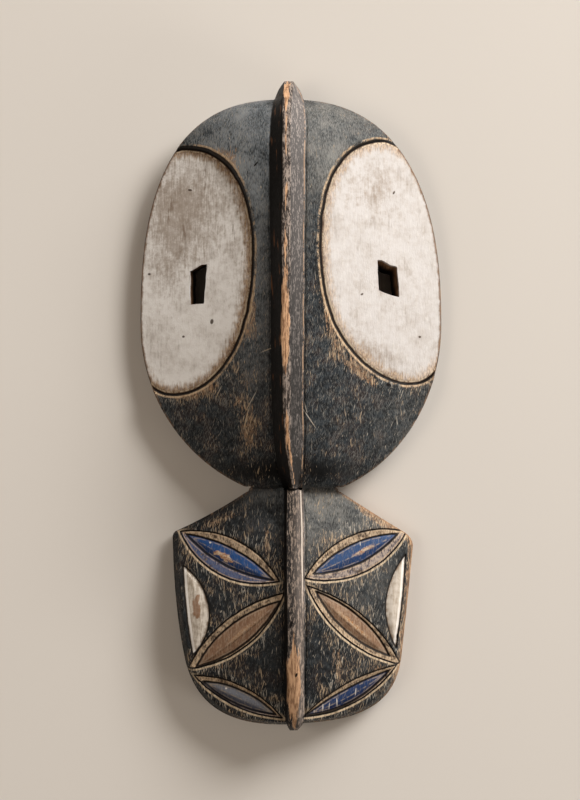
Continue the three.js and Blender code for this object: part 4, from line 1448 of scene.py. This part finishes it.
def leaf_pillow(m):
    """A leaf's painted pillow, worn to ochre along its crest, with painted shade on the lower facet of the
    blue ones and in a crease below the crest of the brown ones.
    """
    shade = m.mix(0.45, m.tint, (14, 16, 26))
    pillow = m.cover(m.tint, shade, m.rise(m.add(m.mottle, m.fleck), 0.8, 1.2), 0.5)
    # The lower facet of a blue pillow is painted darker, as shade.
    pillow = m.cover(pillow, (10, 26, 66), m.low_side, m.blue_leaf, 0.45)
    from_crest = m.swung(m.absolute(m.add(m.crest, -0.6)), mottle=7, fleck=3)
    worn = m.times(m.rise(from_crest, 2.2, 0.4), m.rise(m.swung(m.shine, mottle=0.8), 0.35, 0.7))
    patch = m.swung(m.marks(OCHRE_MARKS, 0.7), mottle=1.6, fleck=1.2)
    ochre = m.mix(m.rise(m.speckle, 0.35, 0.65), (164, 112, 66), (206, 180, 148))
    pillow = m.cover(pillow, ochre, m.most(worn, m.rise(patch, 0.45, 0.7)), 0.85)
    crest_line = (m.band(m.crest, -0.5, 0.4, 0.4), m.rise(m.patchy, 0.42, 0.6))
    pillow = m.cover(pillow, (172, 156, 138), *crest_line, 0.55)
    brown_leaf = m.add(1, m.times(m.blue_leaf, -1))
    # A dark crease below the crest of a brown pillow, painted as shade.
    crease_shade = m.band(m.swung(m.crest, mottle=2), -2.1, -1.3, 0.45)
    pillow = m.cover(pillow, (40, 28, 22), crease_shade, brown_leaf, 0.6)
    pillow = m.cover(pillow, (172, 144, 118), brown_leaf, m.rise(m.add(m.grain, m.fleck), 0.9, 1.2), 0.55)
    pillow = m.cover(pillow, (180, 166, 150), m.hairs, 0.2)
    return m.cover(pillow, (214, 206, 196), m.pale, 0.8)


def leaf_paint(m):
    """A whole leaf, with a pale line along its pillow's edge and a dark line painted as shade in the groove
    round it.
    """
    leaf = m.mix(m.rise(m.pillow, -0.3, 0.3), leaf_border(m), leaf_pillow(m))
    edge_line = (m.band(m.pillow, 0.8, 1.6, 0.35), m.rise(m.mottle, 0.36, 0.56))
    leaf = m.cover(leaf, (178, 160, 140), *edge_line, 0.55)
    # The groove round the pillow is painted near-black as shade.
    return m.cover(leaf, SHADE_AND_MARK_DARK, m.band(m.pillow, -1.4, 0.35, 0.35), 0.96)


def moon_paint(m):
    white = m.mix(m.left_half, (198, 188, 176), (218, 209, 197))
    white = m.mix(m.rise(m.add(m.mottle, m.grain), 0.8, 1.25), white, (166, 152, 136))
    worn = m.swung(m.marks(BROWN_MARKS, 0.6), grain=1.2, mottle=0.8)
    white = m.cover(white, (138, 96, 62), m.rise(worn, 0.35, 0.7), 0.75)
    white = m.cover(white, (116, 92, 70), m.rise(m.moon, 2.4, 0.6), m.rise(m.mottle, 0.3, 0.6), 0.7)
    # A bright line along each half-moon's chord, painted as a highlight, brighter on the left one.
    chord_highlight = m.band(m.chord, 0.8, 2.7, 0.4)
    return m.cover(white, (253, 248, 242), chord_highlight, m.add(0.6, m.times(m.left_half, 0.4)))


def raw_wood(m):
    """The unpainted back, and the eye holes' walls, which are painted darker with depth as shade."""
    raw = m.mix(m.rise(m.add(m.grain, m.clouds), 0.7, 1.3), (80, 56, 38), (126, 94, 66))
    raw = m.cover(raw, (70, 50, 36), m.rise(m.mottle, 0.5, 0.75), 0.5)
    # Down an eye hole its wall is painted darker with depth, to black, as shade.
    return m.cover(raw, (9, 6, 4), m.rise(m.back, 1.1, 1.9))


def painted_wood():
    m = MaskPaint()
    in_eye, in_moon = m.rise(m.eye, -0.35, 0.25), m.rise(m.moon, -0.3, 0.3)
    behind = m.least(m.back, 1)
    colour = m.cover(worn_ground(m), leaf_paint(m), m.rise(m.leaf, -0.3, 0.3))
    # The cuts round the leaves, half-moons and eye fields are painted near-black as shade, and the small
    # dark marks off the eye fields take the same near-black.
    colour = m.cover(colour, SHADE_AND_MARK_DARK, m.band(m.leaf, -0.55, 0.75, 0.3), 0.95)
    colour = m.cover(colour, moon_paint(m), in_moon)
    colour = m.cover(colour, SHADE_AND_MARK_DARK, m.band(m.moon, -0.9, 0.5, 0.3), 0.9)
    colour = m.cover(colour, white_field(m), in_eye)
    colour = m.cover(colour, SHADE_AND_MARK_DARK, m.band(m.eye, -1.2, 0.2, 0.35))
    colour = m.cover(colour, SHADE_AND_MARK_DARK, m.dark_marks, m.rise(m.eye, 0, -0.5))
    colour = m.cover(colour, raw_wood(m), behind)
    m.put(m.shader.inputs["Base Color"], colour)

    rougher = m.most(in_eye, in_moon, m.bared, behind)
    m.put(m.shader.inputs["Roughness"], m.add(m.times(rougher, 0.2), m.times(m.mottle, 0.3), 0.38))
    m.put(m.shader.inputs["Specular IOR Level"], 0.14)

    bumps = ((m.grain, 0.45), (m.mottle, 0.35), (m.speckle, 0.3), (m.fleck, 0.4))
    bumps += ((m.strokes, -0.2), (m.bared, -0.25))
    relief = m.add(*(m.times(value, height) for value, height in bumps))
    bump = m.node("Bump")
    m.put(bump.inputs["Strength"], 0.9)
    m.put(bump.inputs["Distance"], 0.45 * MM)
    m.put(bump.inputs["Height"], relief)
    m.put(m.shader.inputs["Normal"], bump.outputs[0])
    return m.material


def add_object(name, data):
    """An object of the scene for a mesh, a light or the camera."""
    made = bpy.data.objects.new(name, data)
    bpy.context.scene.collection.objects.link(made)
    return made


def make_mask():
    corners, triangles, side = build_surface()
    mesh = bpy.data.meshes.new("carved_mask")
    mesh.from_pydata((corners * MM).tolist(), [], triangles.tolist())
    for name, values in fields(corners, side).items():
        attribute = mesh.attributes.new(name, "FLOAT_VECTOR", "POINT")
        attribute.data.foreach_set("vector", values.astype(np.float32).ravel())
    piece = add_object("carved_mask", mesh)
    mesh.polygons.foreach_set("use_smooth", np.ones(len(mesh.polygons), bool))
    mesh.set_sharp_from_angle(angle=math.radians(60))
    mesh.materials.append(painted_wood())
    return piece


FRAME_HEIGHT = 800
FLOOR_SCALE = 0.88  # millimetres to a pixel, on the floor
CAMERA_HEIGHT = 2000
CAMERA_X = -0.8
CAMERA_Y = 5.2
SENSOR_WIDTH = 36


def make_camera():
    data = bpy.data.cameras.new("camera")
    data.sensor_width = SENSOR_WIDTH
    data.lens = data.sensor_width * CAMERA_HEIGHT / (FRAME_HEIGHT * FLOOR_SCALE)
    data.clip_end = 20
    camera = add_object("camera", data)
    camera.location = (CAMERA_X * MM, CAMERA_Y * MM, CAMERA_HEIGHT * MM)
    bpy.context.scene.camera = camera


# The lights in metres and watts: name, turn from +X and rise in degrees, size, power, colour.
LIGHTS = (
    ("key", 44, 30, 2.0, 149, (1, 0.98, 0.95)),
    ("soft", 50, 20, 3.7, 184, (1, 0.98, 0.95)),
    ("low", -30, 18, 1.8, 44, (1, 0.96, 0.9)),
    ("fill", 185, 55, 2.5, 42, (1, 0.89, 0.78)),
)
LIGHT_DISTANCE = 4.5
WORLD_COLOUR = (1, 0.84, 0.67, 1)
WORLD_STRENGTH = 0.135
FLOOR_HALF_SIZE = 3.0  # metres
FLOOR_COLOUR = (0.7, 0.655, 0.605, 1)
FLOOR_ROUGHNESS = 0.9


def area_light(name, turn, rise, size, power, colour):
    """A round soft light that looks at the origin from its direction."""
    turn, rise = math.radians(turn), math.radians(rise)
    way = Vector((math.cos(rise) * math.cos(turn), math.cos(rise) * math.sin(turn), math.sin(rise)))
    data = bpy.data.lights.new(name, "AREA")
    data.shape = "DISK"
    data.size = size
    data.energy = power
    data.color = colour
    light = add_object(name, data)
    light.location = way * LIGHT_DISTANCE
    light.rotation_euler = (-way).to_track_quat("-Z", "Y").to_euler()


def make_lights():
    for light in LIGHTS:
        area_light(*light)
    world = bpy.data.worlds.new("studio")
    world.use_nodes = True
    background = world.node_tree.nodes["Background"]
    background.inputs["Color"].default_value = WORLD_COLOUR
    background.inputs["Strength"].default_value = WORLD_STRENGTH
    bpy.context.scene.world = world


def make_floor():
    size = FLOOR_HALF_SIZE
    mesh = bpy.data.meshes.new("floor")
    corners = [(-size, -size, 0), (size, -size, 0), (size, size, 0), (-size, size, 0)]
    mesh.from_pydata(corners, [], [(0, 1, 2, 3)])
    floor = add_object("floor", mesh)
    material = bpy.data.materials.new("floor")
    material.use_nodes = True
    shader = material.node_tree.nodes["Principled BSDF"]
    shader.inputs["Base Color"].default_value = FLOOR_COLOUR
    shader.inputs["Roughness"].default_value = FLOOR_ROUGHNESS
    mesh.materials.append(material)


make_camera()
make_lights()
make_floor()
bpy.context.scene.view_settings.view_transform = "Standard"

mask = make_mask()
print("mask triangles", len(mask.data.polygons))
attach(mask, "root")
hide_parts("mask")
